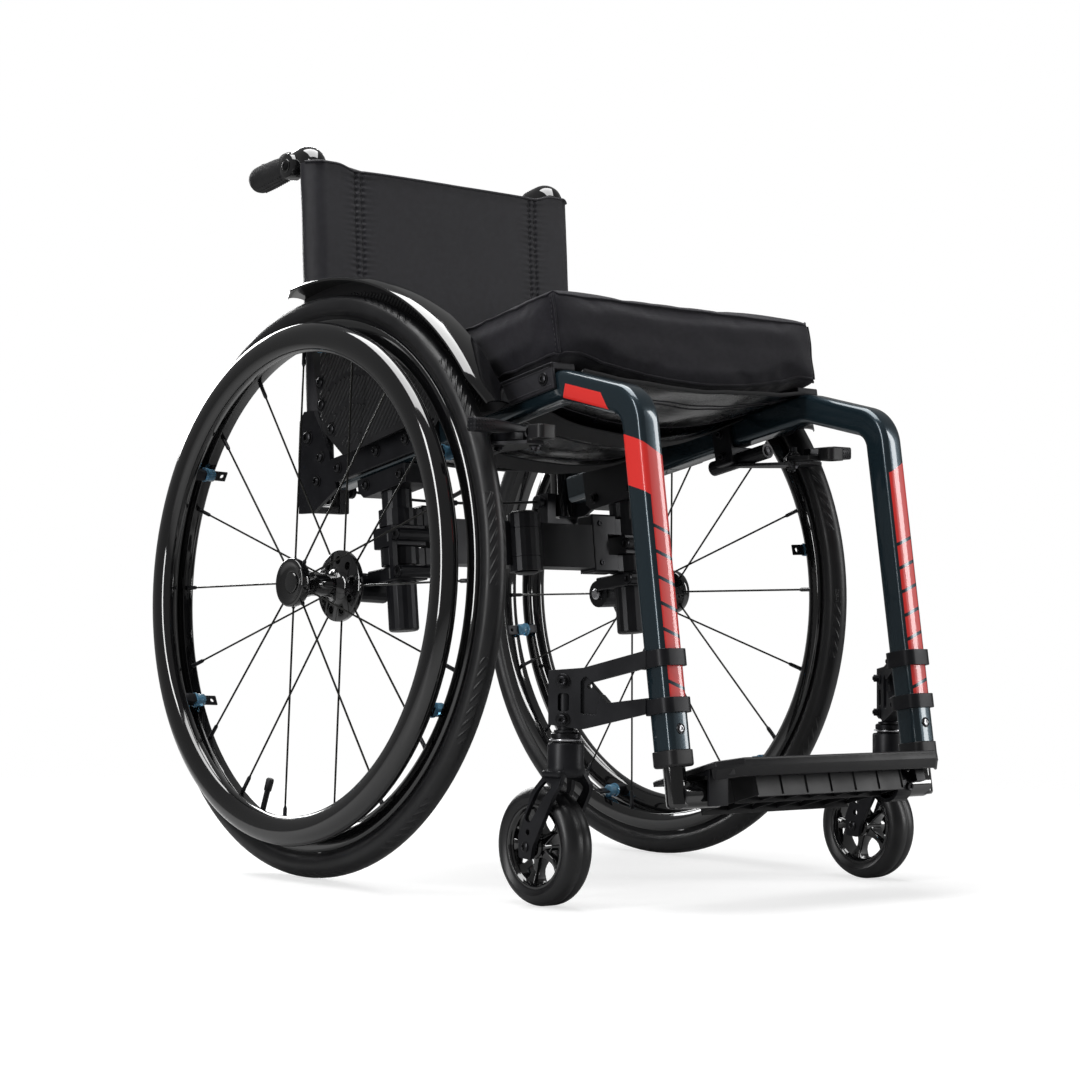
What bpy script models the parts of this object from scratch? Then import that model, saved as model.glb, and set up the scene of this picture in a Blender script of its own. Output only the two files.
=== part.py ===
"""Folding active wheelchair: a Blender 4.5 script that builds every sub-part as its own solid.

Metres, +Z up, the chair faces -Y and its left side is +X. All places are worked out in the
chair's own frame, whose origin lies on the floor under the middle of the rear axle line; the
root empty then moves the chair so that its bounding box is centred on the world origin.
"""
import math

import bmesh
import bpy
from mathutils import Matrix, Vector

# ---- driving dimensions ------------------------------------------------------------------
AXLE_Y = 0.1043                       # rear axle line behind the world origin
CAMBER = math.radians(2.2)
TYRE_SECTION = 0.0125                 # radius of the 25 mm tyre
WHEEL_RING = 0.2825                   # tyre section centre, a 24 inch (540 mm bead) wheel
HALF_TRACK = 0.229
RIM_OUTER = 0.2695
RIM_INNER = 0.2500
RIM_HALF_WIDTH = 0.0100
HANDRIM_RING = 0.2481
HANDRIM_OFFSET = 0.0306
HANDRIM_RADIAL = 0.0150
HANDRIM_AXIAL = 0.0118
SPOKES = 18
SPOKE_RADIUS = 0.0011
WHEEL_STEPS = 48                      # facets round a drive wheel
GAP = 0.0003                          # free gap between touching parts

FRAME_X = 0.162                       # side frame tube centre
TUBE_WIDTH = 0.026
RAIL_DEPTH = 0.031
LEG_DEPTH = 0.027
RAIL_REAR = (0.055, 0.4113)           # side frame outline, each point is (Y, Z)
KINK = (-0.3115, 0.4777)
BEND = (-0.4077, 0.4541)
LEG_END = (-0.4535, 0.1425)

POST_X = 0.1555
POST_RADIUS = 0.0155
FOLD_TILT = math.radians(6.1)         # fold pins lean back with the axle posts
FOLD_POINT = (-0.0372, 0.340)         # (Y, Z) on the post axis
PIN_FORWARD = 0.0135                  # centre pin in front of the post axes
KNUCKLE_RADIUS = 0.0178

CASTER_X = 0.2147
CASTER_STEM_Y = -0.3702
CASTER_AXLE = (-0.3415, 0.0537)
CASTER_RADIUS = 0.0537

BACK_X = 0.166
BACK_RADIUS = 0.0125
BACK_PIVOT = (0.0878, 0.452)
BACK_TOP = (0.1068, 0.757)
BACK_FOOT = 0.381                     # height of the post's lower end
PLUNGER_Z = 0.397
HANDLE_PIVOT = (0.1330, 0.7480)

FOOT_TILT = math.radians(15.0)
FOOT_PIVOT = Vector((0.136, -0.460, 0.1235))
STUB_RADIUS = 0.0125
STUB_POINT = (-0.4597, 0.1035)
STUB_END_X = 0.113

GUARD_X = 0.195
FENDER_RADIUS = 0.3115

BRAKE_Y = -0.198
BRAKE_Z = 0.4225
BRAKE_PIVOT = (0.1980, -0.2500)       # (X, Y) of the tyre shoe's pin
LEVER_PIVOT = (0.1740, -0.2760)

# ---- materials: base colour, roughness, metallic -----------------------------------------
FINISHES = {
    "frame_paint": ((0.020, 0.040, 0.055), 0.25, 0.6),
    "black_anodised": ((0.012, 0.012, 0.014), 0.45, 0.7),
    "black_gloss": ((0.008, 0.008, 0.009), 0.15, 0.2),
    "black_plastic": ((0.016, 0.016, 0.018), 0.55, 0.0),
    "tyre_rubber": ((0.020, 0.020, 0.021), 0.70, 0.0),
    "grip_rubber": ((0.018, 0.018, 0.020), 0.75, 0.0),
    "upholstery": ((0.022, 0.021, 0.027), 0.85, 0.0),
    "steel": ((0.62, 0.62, 0.64), 0.30, 1.0),
}

SIDES = (("left", 1), ("right", -1))


def material(name):
    """The Principled material of that finish."""
    found = bpy.data.materials.get(name)
    if found:
        return found
    colour, roughness, metallic = FINISHES[name]
    made = bpy.data.materials.new(name)
    made.use_nodes = True
    shader = made.node_tree.nodes["Principled BSDF"]
    shader.inputs["Base Color"].default_value = (*colour, 1.0)
    shader.inputs["Roughness"].default_value = roughness
    shader.inputs["Metallic"].default_value = metallic
    made.diffuse_color = (*colour, 1.0)
    return made


# ---- building blocks ---------------------------------------------------------------------
def temporary(mesh_builder):
    """An object made from a bmesh, to be joined, cut or finished."""
    bmesh.ops.recalc_face_normals(mesh_builder, faces=mesh_builder.faces)
    mesh = bpy.data.meshes.new("piece")
    mesh_builder.to_mesh(mesh)
    mesh_builder.free()
    piece = bpy.data.objects.new("piece", mesh)
    bpy.context.scene.collection.objects.link(piece)
    return piece


def along(direction):
    """Rotation that turns local +Z to the direction."""
    return Vector(direction).to_track_quat("Z", "Y").to_matrix().to_4x4()


def rod(start, end, radius, segments=24, end_radius=None):
    """Round bar, or a cone if end_radius differs."""
    start = Vector(start)
    end = Vector(end)
    bm = bmesh.new()
    place = Matrix.Translation((start + end) / 2) @ along(end - start)
    far = radius if end_radius is None else end_radius
    bmesh.ops.create_cone(bm, cap_ends=True, segments=segments, radius1=radius, radius2=far,
                          depth=(end - start).length, matrix=place)
    return temporary(bm)


def block(low, high, bevel=0.0):
    """Box between two corners, with rounded edges where bevel is given."""
    low = Vector(low)
    high = Vector(high)
    size = high - low
    bm = bmesh.new()
    scale = Matrix.Diagonal((abs(size.x), abs(size.y), abs(size.z), 1))
    bmesh.ops.create_cube(bm, size=1, matrix=Matrix.Translation((low + high) / 2) @ scale)
    if bevel:
        bmesh.ops.bevel(bm, geom=bm.edges[:], offset=bevel, segments=1, affect="EDGES")
    return temporary(bm)


def turned(profile, segments, place=None, closed=False):
    """Solid of revolution about local Z from (radius, height) points."""
    bm = bmesh.new()
    verts = [bm.verts.new((r, 0, h)) for r, h in profile]
    edges = [bm.edges.new(pair) for pair in zip(verts, verts[1:])]
    if closed:
        edges.append(bm.edges.new((verts[-1], verts[0])))
    bmesh.ops.spin(bm, geom=verts + edges, cent=(0, 0, 0), axis=(0, 0, 1),
                   angle=2 * math.pi, steps=segments, use_merge=True)
    bmesh.ops.remove_doubles(bm, verts=bm.verts, dist=1e-6)
    if place is not None:
        bm.transform(place)
    return temporary(bm)


def prism(outline, low, high, place=None):
    """Flat outline of (Y, Z) points, extruded along X from low to high."""
    bm = bmesh.new()
    face = bm.faces.new([bm.verts.new((low, y, z)) for y, z in outline])
    grown = bmesh.ops.extrude_face_region(bm, geom=[face])["geom"]
    moved = [item for item in grown if isinstance(item, bmesh.types.BMVert)]
    bmesh.ops.translate(bm, verts=moved, vec=(high - low, 0, 0))
    if place is not None:
        bm.transform(place)
    return temporary(bm)


def swept(rings):
    """Closed skin through rings of points, capped at both ends."""
    bm = bmesh.new()
    loops = [[bm.verts.new(point) for point in ring] for ring in rings]
    for near, far in zip(loops, loops[1:]):
        count = len(near)
        for i in range(count):
            j = (i + 1) % count
            bm.faces.new((near[i], near[j], far[j], far[i]))
    bm.faces.new(loops[0][::-1])
    bm.faces.new(loops[-1])
    return temporary(bm)


def combine(base, others, operation):
    """Applies an exact Boolean of base with each of the others."""
    for other in others:
        modifier = base.modifiers.new("combine", "BOOLEAN")
        modifier.operation = operation
        modifier.solver = "EXACT"
        modifier.object = other
        bpy.context.view_layer.update()
        evaluated = base.evaluated_get(bpy.context.evaluated_depsgraph_get())
        mesh = bpy.data.meshes.new_from_object(evaluated)
        base.modifiers.clear()
        base.data = mesh
        bpy.data.objects.remove(other)
    return base


def join(base, *others):
    """Union of the pieces."""
    return combine(base, others, "UNION")


def cut(base, *others):
    """base with the others taken away."""
    return combine(base, others, "DIFFERENCE")


def part(piece, name, finish, origin=(0, 0, 0), sharp=35):
    """Names a finished piece, gives it its material, and puts its origin on its joint."""
    bm = bmesh.new()
    bm.from_mesh(piece.data)
    bmesh.ops.transform(bm, matrix=piece.matrix_world, verts=bm.verts)
    bmesh.ops.remove_doubles(bm, verts=bm.verts, dist=2e-6)
    bmesh.ops.dissolve_degenerate(bm, edges=bm.edges, dist=2e-6)
    bmesh.ops.translate(bm, verts=bm.verts, vec=-Vector(origin))
    bmesh.ops.recalc_face_normals(bm, faces=bm.faces)
    bm.to_mesh(piece.data)
    bm.free()
    piece.name = name
    piece.data.name = name
    piece.data.materials.clear()
    piece.data.materials.append(material(finish))
    piece.data.shade_smooth()
    piece.data.set_sharp_from_angle(angle=math.radians(sharp))
    piece.parent = bpy.data.objects["chair"]
    piece.matrix_world = Matrix.Translation(Vector(origin) + Vector((0, AXLE_Y, 0)))
    return piece


def arc(centre, radius, start, end, steps):
    """Points of an arc, angles in degrees, in a flat outline."""
    angles = [math.radians(start + (end - start) * i / steps) for i in range(steps + 1)]
    return [(centre[0] + radius * math.cos(a), centre[1] + radius * math.sin(a)) for a in angles]


def filleted(points, radii, steps=5):
    """The outline with each inner point rounded to its radius."""
    line = [Vector(points[0])]
    for before, corner, after, radius in zip(points, points[1:], points[2:], radii):
        corner = Vector(corner)
        u = (Vector(before) - corner).normalized()
        v = (Vector(after) - corner).normalized()
        half = u.angle(v) / 2
        reach = radius / math.tan(half)
        centre = corner + (u + v).normalized() * (radius / math.sin(half))
        first = corner + u * reach - centre
        last = corner + v * reach - centre
        for i in range(steps + 1):
            mixed = first.lerp(last, i / steps)
            line.append(centre + mixed.normalized() * radius)
    line.append(Vector(points[-1]))
    return line


def rounded_rectangle(width, depth, radius, steps=2):
    """Corner-rounded section as (across, deep) points, counter-clockwise."""
    points = []
    for start, sx, sy in ((0, 1, 1), (90, -1, 1), (180, -1, -1), (270, 1, -1)):
        centre = (sx * (width / 2 - radius), sy * (depth / 2 - radius))
        points += arc(centre, radius, start, start + 90, steps)
    return points


# ---- placing helpers ---------------------------------------------------------------------
RAIL_SLOPE = math.atan2(KINK[1] - RAIL_REAR[1], RAIL_REAR[0] - KINK[0])
RAIL_PLACE = Matrix.Translation((0, KINK[0], KINK[1])) @ Matrix.Rotation(-RAIL_SLOPE, 4, "X")
FOLD_TURN = Matrix.Rotation(-FOLD_TILT, 4, "X")
LEG_LEAN = math.atan2(BEND[0] - LEG_END[0], BEND[1] - LEG_END[1])
LEG_PLACE = Matrix.Translation((0, LEG_END[0], LEG_END[1])) @ Matrix.Rotation(-LEG_LEAN, 4, "X")
WHEEL_Z = WHEEL_RING * math.cos(CAMBER) + TYRE_SECTION


def moved(piece, place):
    """The piece with a matrix applied to its points."""
    piece.data.transform(place)
    return piece


def wheel_place(side):
    """Matrix of a drive wheel: local Z is the outward axle, local Y is up."""
    outward = Vector((side * math.cos(CAMBER), 0, math.sin(CAMBER)))
    upward = Vector((-side * math.sin(CAMBER), 0, math.cos(CAMBER)))
    forward = upward.cross(outward)
    turn = Matrix((forward, upward, outward)).transposed().to_4x4()
    return Matrix.Translation((side * HALF_TRACK, 0, WHEEL_Z)) @ turn


def wheel_part(piece, side, name, finish, sharp=35):
    """A drive wheel piece, modelled about its own axle, put in its place."""
    moved(piece, wheel_place(side))
    return part(piece, name, finish, origin=(side * HALF_TRACK, 0, WHEEL_Z), sharp=sharp)


# ---- drive wheels ------------------------------------------------------------------------
def build_tyre(name, side):
    profile = [(WHEEL_RING + TYRE_SECTION * math.cos(a), TYRE_SECTION * math.sin(a))
               for a in (math.radians(d) for d in range(-140, 141, 40))]
    seat = RIM_OUTER + GAP
    profile += [(seat, 0.0062), (seat, -0.0062)]
    wheel_part(turned(profile, WHEEL_STEPS, closed=True), side, f"{name}_tyre", "tyre_rubber")


def build_rim(name, side):
    wide = RIM_HALF_WIDTH
    profile = [(RIM_OUTER, -0.0085), (RIM_OUTER, 0.0085), (RIM_OUTER - 0.004, wide),
               (RIM_INNER + 0.005, wide), (RIM_INNER, 0.005), (RIM_INNER, -0.005),
               (RIM_INNER + 0.005, -wide), (RIM_OUTER - 0.004, -wide)]
    wheel_part(turned(profile, WHEEL_STEPS, closed=True), side, f"{name}_rim", "black_gloss")


def build_handrim(name, side):
    ring = [(HANDRIM_RING + HANDRIM_RADIAL * math.cos(a), HANDRIM_OFFSET + HANDRIM_AXIAL * math.sin(a))
            for a in (math.radians(d) for d in range(0, 360, 45))]
    handrim = turned(ring, WHEEL_STEPS, closed=True)
    for i in range(6):
        tab = block((RIM_INNER - 0.010, -0.008, RIM_HALF_WIDTH + GAP), (RIM_INNER + 0.010, 0.008, 0.026))
        moved(tab, Matrix.Rotation(math.radians(30 + 60 * i), 4, "Z"))
        join(handrim, tab)
    wheel_part(handrim, side, f"{name}_handrim", "black_gloss")


def build_hub(name, side):
    """Hub shell with both flanges, its end cap and the spokes."""
    bore = 0.0068
    profile = [(bore, -0.034), (0.0300, -0.034), (0.0350, -0.031), (0.0365, -0.0275),
               (0.0365, -0.0245), (0.0180, -0.0225), (0.0125, -0.017), (0.0120, 0.010),
               (0.0150, 0.020), (0.0215, 0.0245), (0.0245, 0.0290), (0.0245, 0.0350),
               (0.0190, 0.0375), (0.0110, 0.0370), (0.0110, 0.0265), (bore, 0.0265)]
    hub = turned(profile, 20, closed=True)
    for i in range(SPOKES):
        angle = 2 * math.pi * i / SPOKES
        inner = i % 2 == 0
        start_r, start_z = (0.0330, -0.0260) if inner else (0.0200, 0.0270)
        turn = Matrix.Rotation(angle, 4, "Z")
        start = turn @ Vector((start_r, 0, start_z))
        end = turn @ Vector((RIM_INNER * math.cos(math.pi / WHEEL_STEPS) - GAP, 0, 0.0))
        join(hub, rod(start, end, SPOKE_RADIUS, 5))
    wheel_part(hub, side, f"{name}_hub_spokes", "black_anodised")


def build_axle(name, side):
    """Quick-release axle that passes through the hub into the sleeve, and its button."""
    radius = 0.0063
    axle = turned([(0, -0.0870), (0.0045, -0.0870), (radius, -0.0850), (radius, 0.0262), (0, 0.0262)], 20)
    wheel_part(axle, side, f"{name}_axle", "steel")
    button = turned([(0, 0.0310), (0.0100, 0.0310), (0.0100, 0.0365), (0.0080, 0.0385), (0, 0.0390)], 20)
    wheel_part(button, side, f"{name}_axle_button", "black_gloss")


# ---- side frames -------------------------------------------------------------------------
def build_side_frame(name, side):
    """Rail, front bend and leg as one bent tube."""
    path = filleted([RAIL_REAR, KINK, BEND, LEG_END], (0.050, 0.030), 6)
    total = len(path) - 1
    rings = []
    for i, point in enumerate(path):
        before = path[max(i - 1, 0)]
        after = path[min(i + 1, total)]
        tangent = (after - before).normalized()
        normal = Vector((tangent.y, -tangent.x))
        depth = RAIL_DEPTH + (LEG_DEPTH - RAIL_DEPTH) * (i / total)
        section = rounded_rectangle(TUBE_WIDTH, depth, 0.0065)
        rings.append([(side * FRAME_X + a, point.x + normal.x * b, point.y + normal.y * b)
                      for a, b in section])
    part(swept(rings), f"{name}_side_frame", "frame_paint")


def leg_block(side, width, depth, low, high, radius=0.006):
    """Rounded-section block round the leg axis between two distances from the leg's end."""
    section = rounded_rectangle(width, depth, radius)
    rings = [[(side * FRAME_X + a, b, h) for a, b in section] for h in (low, high)]
    return moved(swept(rings), LEG_PLACE)


def leg_axis(side, distance):
    """Point on the leg's centre line, distance above the tube's lower end."""
    return LEG_PLACE @ Vector((side * FRAME_X, 0, distance))


def build_leg_cap(name, side):
    cap = leg_block(side, 0.0285, 0.0295, -0.0135, -GAP, 0.007)
    cut(cap, rod(leg_axis(side, -0.020), leg_axis(side, 0.010), 0.0105, 20))
    part(cap, f"{name}_leg_cap", "black_plastic")


def build_leg_extension(name, side):
    """Inner tube that sets the lower leg length, with the stub that carries the footplate."""
    tube = rod(leg_axis(side, -0.0505), leg_axis(side, -GAP), 0.0101, 20)
    stub = rod((side * FRAME_X, *STUB_POINT), (side * STUB_END_X, *STUB_POINT), STUB_RADIUS, 20)
    join(tube, stub)
    part(tube, f"{name}_leg_extension", "black_anodised")


# ---- axle bracket, post and clamp --------------------------------------------------------
def build_axle_bracket(name, side):
    """Block under the rail that holds the axle post."""
    low, high = 0.2475, 0.3300
    outline = [(low, -0.036), (low, 0.008), (high, 0.008), (high, -0.028), (high - 0.008, -0.036)]
    bracket = prism(outline, side * 0.1365, side * 0.1750)
    rail = block((side * 0.1487, low - 0.02, -RAIL_DEPTH / 2 - GAP), (side * 0.19, high + 0.02, 0.05))
    cut(bracket, rail)
    moved(bracket, RAIL_PLACE)
    cut(bracket, rod(post_point(side, 0.10), post_point(side, -0.05), POST_RADIUS + GAP, 20))
    part(bracket, f"{name}_axle_bracket", "black_anodised")


def post_point(side, height):
    """Point on the axle post's line, height above the fold point along the line."""
    up = Vector((0, math.sin(FOLD_TILT), math.cos(FOLD_TILT)))
    return Vector((side * POST_X, *FOLD_POINT)) + up * height


def build_axle_post(name, side):
    post = rod(post_point(side, -0.0910), post_point(side, 0.0610), POST_RADIUS, 20)
    part(post, f"{name}_axle_post", "black_anodised")


def build_axle_clamp(name, side):
    """Clamp that sits on the post between the arm lugs and holds the axle sleeve."""
    def fold_box(low, high, bevel=0.0):
        place = Matrix.Translation((side * POST_X, *FOLD_POINT)) @ FOLD_TURN
        return moved(block(low, high, bevel), place)

    sleeve = moved(rod((0, 0, -0.0815), (0, 0, -0.0370), 0.0150, 20), wheel_place(side))
    clamp = fold_box((-0.0190, -0.0205, -0.0420), (0.0190, 0.0320, -0.0278), 0.001)
    join(clamp, fold_box((-0.0190, -0.0205, -0.0075), (0.0190, 0.0190, 0.0140), 0.001))
    join(clamp, fold_box((side * 0.0180, -0.0200, -0.0415), (side * 0.0240, -0.0140, 0.0135)))
    join(clamp, sleeve)
    cut(clamp, rod(post_point(side, -0.08), post_point(side, 0.06), POST_RADIUS + GAP, 20))
    cut(clamp, moved(rod((0, 0, -0.10), (0, 0, -0.02), 0.0067, 20), wheel_place(side)))
    for height in (0.0035, -0.0345):
        bolt = rod((side * 0.0215, -0.0245, height), (side * -0.0215, -0.0245, height), 0.0065, 12)
        place = Matrix.Translation((side * POST_X, *FOLD_POINT)) @ FOLD_TURN
        join(clamp, moved(bolt, place))
    part(clamp, f"{name}_axle_clamp", "black_anodised")


# ---- folding arms ------------------------------------------------------------------------
def build_fold_arm(name, side):
    """One half of the cross link: lugs on the post, a box beam, and the centre knuckles."""
    beam = block((side * -0.1552, -0.012, -0.023), (side * -0.0560, 0.012, 0.024))
    join(beam, block((side * -0.0581, -0.0125, -0.0270), (side * -0.0220, 0.0125, 0.0365), 0.002))
    for low, high in ((0.0145, 0.0320), (-0.0255, -0.0080)):
        join(beam, rod((0, 0, low), (0, 0, high), 0.0195, 20))
        join(beam, block((side * -0.0300, -0.0115, low), (0, 0.0115, high)))
    cut(beam, rod((0, 0, -0.06), (0, 0, 0.06), POST_RADIUS + GAP, 20))
    # room between the lugs for the clamp on the post and its screws, at every angle
    cut(beam, rod((0, 0, -0.0080), (0, 0, 0.0145), 0.0388, 32))
    centre = Vector((side * -POST_X, -PIN_FORWARD, 0))
    own = ((-0.0295, -0.0145), (0.0165, 0.0315)) if side > 0 else ((-0.0142, 0.0162),)
    other = ((-0.0142, 0.0162),) if side > 0 else ((-0.0295, -0.0145), (0.0165, 0.0315))
    for low, high in other:
        hollow = rod(centre + Vector((0, 0, low - GAP)), centre + Vector((0, 0, high + GAP)),
                     KNUCKLE_RADIUS + 2 * GAP, 20)
        cut(beam, hollow)
    for low, high in own:
        join(beam, rod(centre + Vector((0, 0, low)), centre + Vector((0, 0, high)), KNUCKLE_RADIUS, 20))
    cut(beam, rod(centre - Vector((0, 0, 0.05)), centre + Vector((0, 0, 0.05)), 0.0062, 16))
    origin = (side * POST_X, *FOLD_POINT)
    moved(beam, Matrix.Translation(origin) @ FOLD_TURN)
    part(beam, f"{name}_fold_arm", "black_anodised", origin=origin)


def pin_point(height):
    """Point on the centre fold pin's line."""
    return Matrix.Translation((0, *FOLD_POINT)) @ FOLD_TURN @ Vector((0, -PIN_FORWARD, height))


def build_fold_pin():
    part(rod(pin_point(-0.0300), pin_point(0.0325), 0.0060, 16), "fold_pin", "steel", origin=pin_point(0))


# ---- casters -----------------------------------------------------------------------------
def build_caster_bracket(name, side):
    """Stem housing, two arms and the two bands that grip the leg."""
    leg = LEG_PLACE @ Vector((side * FRAME_X, 0, 0.060))
    stem = Vector((side * CASTER_X, CASTER_STEM_Y, 0))
    across = Vector((stem.x - leg.x, stem.y - leg.y, 0))
    reach = across.length
    turn = Matrix.Rotation(math.atan2(across.y, across.x), 4, "Z")
    place = Matrix.Translation((leg.x, leg.y, 0)) @ turn
    near, far, half = 0.018, reach + 0.014, 0.0095
    outline = [(near, 0.2155), (near, 0.2310), (reach - 0.016, 0.2145), (far, 0.2125),
               (far, 0.1640), (reach - 0.014, 0.1600), (near, 0.1740), (near, 0.1880),
               (reach - 0.050, 0.1835), (reach - 0.028, 0.2020)]
    arms = prism(outline, -half, half)
    moved(arms, place @ Matrix.Rotation(math.radians(-90), 4, "Z"))
    join(arms, rod(stem + Vector((0, 0, 0.1600)), stem + Vector((0, 0, 0.2130)), 0.0150, 24))
    for low, high in ((0.0325, 0.0460), (0.0740, 0.0890)):
        join(arms, leg_block(side, 0.0330, 0.0340, low, high, 0.008))
    cut(arms, leg_block(side, TUBE_WIDTH + 2 * GAP, 0.0290 + 2 * GAP, -0.01, 0.16, 0.0064))
    cut(arms, rod(stem + Vector((0, 0, 0.10)), stem + Vector((0, 0, 0.2080)), 0.0078, 16))
    part(arms, f"{name}_caster_bracket", "black_anodised")


def build_caster_fork(name, side):
    """Fork head with its stem and two slotted legs."""
    top = Vector((side * CASTER_X, CASTER_STEM_Y, 0))
    fork = turned([(0, 0.1200), (0.0175, 0.1200), (0.0175, 0.1265), (0.0165, 0.1290), (0.0165, 0.1475),
                   (0.0110, 0.1490), (0.0110, 0.1590), (0.0074, 0.1595), (0.0074, 0.2060), (0, 0.2060)],
                  24, Matrix.Translation(top))
    axle_y, axle_z = CASTER_AXLE
    crown = block((top.x - 0.0240, top.y - 0.0150, 0.1150), (top.x + 0.0240, top.y + 0.0150, 0.1235), 0.003)
    join(fork, crown)
    outline = [(top.y - 0.0150, 0.1200), (top.y + 0.0150, 0.1200), (axle_y + 0.0090, axle_z),
               (axle_y + 0.0060, axle_z - 0.0100), (axle_y - 0.0060, axle_z - 0.0100),
               (axle_y - 0.0090, axle_z)]
    slot = [(top.y - 0.0060, 0.1120), (top.y + 0.0085, 0.1120), (axle_y + 0.0015, 0.0850),
            (axle_y - 0.0045, 0.0850)]
    for inner, outer in ((0.0183, 0.0230), (-0.0230, -0.0183)):
        leg = prism(outline, top.x + inner, top.x + outer)
        cut(leg, prism(slot, top.x + inner - 0.01, top.x + outer + 0.01))
        join(fork, leg)
    cut(fork, rod((top.x - 0.05, axle_y, axle_z), (top.x + 0.05, axle_y, axle_z), 0.0042, 12))
    part(fork, f"{name}_caster_fork", "black_anodised", origin=(top.x, top.y, 0.12))


def build_caster_wheel(name, side):
    """Spoked caster wheel, its solid tyre and its axle bolt."""
    centre = Vector((side * CASTER_X, *CASTER_AXLE))
    place = Matrix.Translation(centre) @ Matrix.Rotation(math.radians(90), 4, "Y")
    rim_in, rim_out = 0.0330, 0.0385
    rim = turned([(rim_out, -0.0130), (rim_out, 0.0130), (rim_in + 0.002, 0.0130), (rim_in, 0.0100),
                  (rim_in, -0.0100), (rim_in + 0.002, -0.0130)], 36, closed=True)
    hub = turned([(0.0043, -0.0150), (0.0110, -0.0150), (0.0110, 0.0150), (0.0043, 0.0150)], 20, closed=True)
    join(rim, hub)
    for i in range(5):
        spoke = block((0.0095, -0.0035, -0.0060), (rim_in + 0.001, 0.0035, 0.0060), 0.001)
        join(rim, moved(spoke, Matrix.Rotation(2 * math.pi * i / 5, 4, "Z")))
    cut(rim, rod((0, 0, -0.03), (0, 0, 0.03), 0.0043, 12))
    part(moved(rim, place), f"{name}_caster_wheel", "black_gloss", origin=centre)
    bead = rim_out + GAP
    tread = arc((CASTER_RADIUS - 0.0110, -0.0050), 0.0110, -80, 0, 3)
    tread += arc((CASTER_RADIUS - 0.0110, 0.0050), 0.0110, 0, 80, 3)
    tyre = turned([(bead, -0.0125), *tread, (bead, 0.0125)], 36, closed=True)
    part(moved(tyre, place), f"{name}_caster_tyre", "tyre_rubber", origin=centre)
    bolt = rod((0, 0, -0.0232), (0, 0, 0.0232), 0.0039, 12)
    part(moved(bolt, place), f"{name}_caster_axle", "steel", origin=centre)


# ---- brakes ------------------------------------------------------------------------------
def build_brake(name, side):
    """Clamp under the rail with its plate, the tyre shoe, and the finger lever."""
    rail_a = (BRAKE_Y - KINK[0]) / math.cos(RAIL_SLOPE)
    front, rear = rail_a - 0.013, rail_a + 0.013
    clamp = block((side * 0.1440, front, -0.0330), (side * 0.1487, rear, 0.0060), 0.001)
    join(clamp, block((side * 0.1440, front, -0.0330), (side * 0.1760, rear, -0.0160), 0.001))
    join(clamp, rod((side * 0.1600, rail_a - 0.050, -0.0290),
                    (side * 0.1600, rail_a + 0.032, -0.0290), 0.0080, 16))
    moved(clamp, RAIL_PLACE)
    plate = prism([(-0.1900, 0.1560), (-0.2350, 0.2050), (-0.2600, 0.2100), (-0.2930, 0.1980),
                   (-0.2960, 0.1800), (-0.2200, 0.1500)], 0, 0.003)
    swap = Matrix(((0, 0, side, 0), (0, 1, 0, 0), (1, 0, 0, BRAKE_Z), (0, 0, 0, 1)))
    moved(plate, swap)
    join(clamp, plate)
    join(clamp, rod((side * BRAKE_PIVOT[0], BRAKE_PIVOT[1], BRAKE_Z + 0.001),
                    (side * BRAKE_PIVOT[0], BRAKE_PIVOT[1], BRAKE_Z + 0.018), 0.0035, 12))
    join(clamp, rod((side * LEVER_PIVOT[0], LEVER_PIVOT[1], BRAKE_Z + 0.001),
                    (side * LEVER_PIVOT[0], LEVER_PIVOT[1], BRAKE_Z + 0.018), 0.0035, 12))
    part(clamp, f"{name}_brake_clamp", "black_anodised")

    x, y = side * BRAKE_PIVOT[0], BRAKE_PIVOT[1]
    low = BRAKE_Z + 0.003 + GAP
    shoe = rod((x, y, low), (x, y, low + 0.007), 0.0080, 16)
    join(shoe, block((side * 0.1910, y - 0.0340, low + 0.0005), (side * 0.2050, y, low + 0.0065)))
    tip = block((side * 0.1900, y - 0.0350, low + 0.0010), (side * 0.2530, y - 0.0210, low + 0.0130), 0.002)
    join(shoe, tip)
    cut(shoe, rod((x, y, low - 0.01), (x, y, low + 0.03), 0.0037, 12))
    part(shoe, f"{name}_brake_shoe", "black_anodised", origin=(x, y, low))

    x, y = side * LEVER_PIVOT[0], LEVER_PIVOT[1]
    lever = rod((x, y, low), (x, y, low + 0.006), 0.0080, 16)
    join(lever, block((x - side * 0.0060, y - 0.0350, low), (x + side * 0.0120, y, low + 0.0055)))
    loop = block((x - side * 0.0040, y - 0.0560, low + 0.0003),
                 (x + side * 0.0240, y - 0.0260, low + 0.016), 0.003)
    cut(loop, block((x + side * 0.0005, y - 0.0510, low - 0.01),
                    (x + side * 0.0195, y - 0.0310, low + 0.03)))
    join(lever, loop)
    cut(lever, rod((x, y, low - 0.01), (x, y, low + 0.03), 0.0037, 12))
    part(lever, f"{name}_brake_lever", "black_plastic", origin=(x, y, low))


# ---- backrest ----------------------------------------------------------------------------
def back_line(z):
    """Y of the back post's centre line at height z."""
    share = (z - BACK_PIVOT[1]) / (BACK_TOP[1] - BACK_PIVOT[1])
    return BACK_PIVOT[0] + (BACK_TOP[0] - BACK_PIVOT[0]) * share


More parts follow.
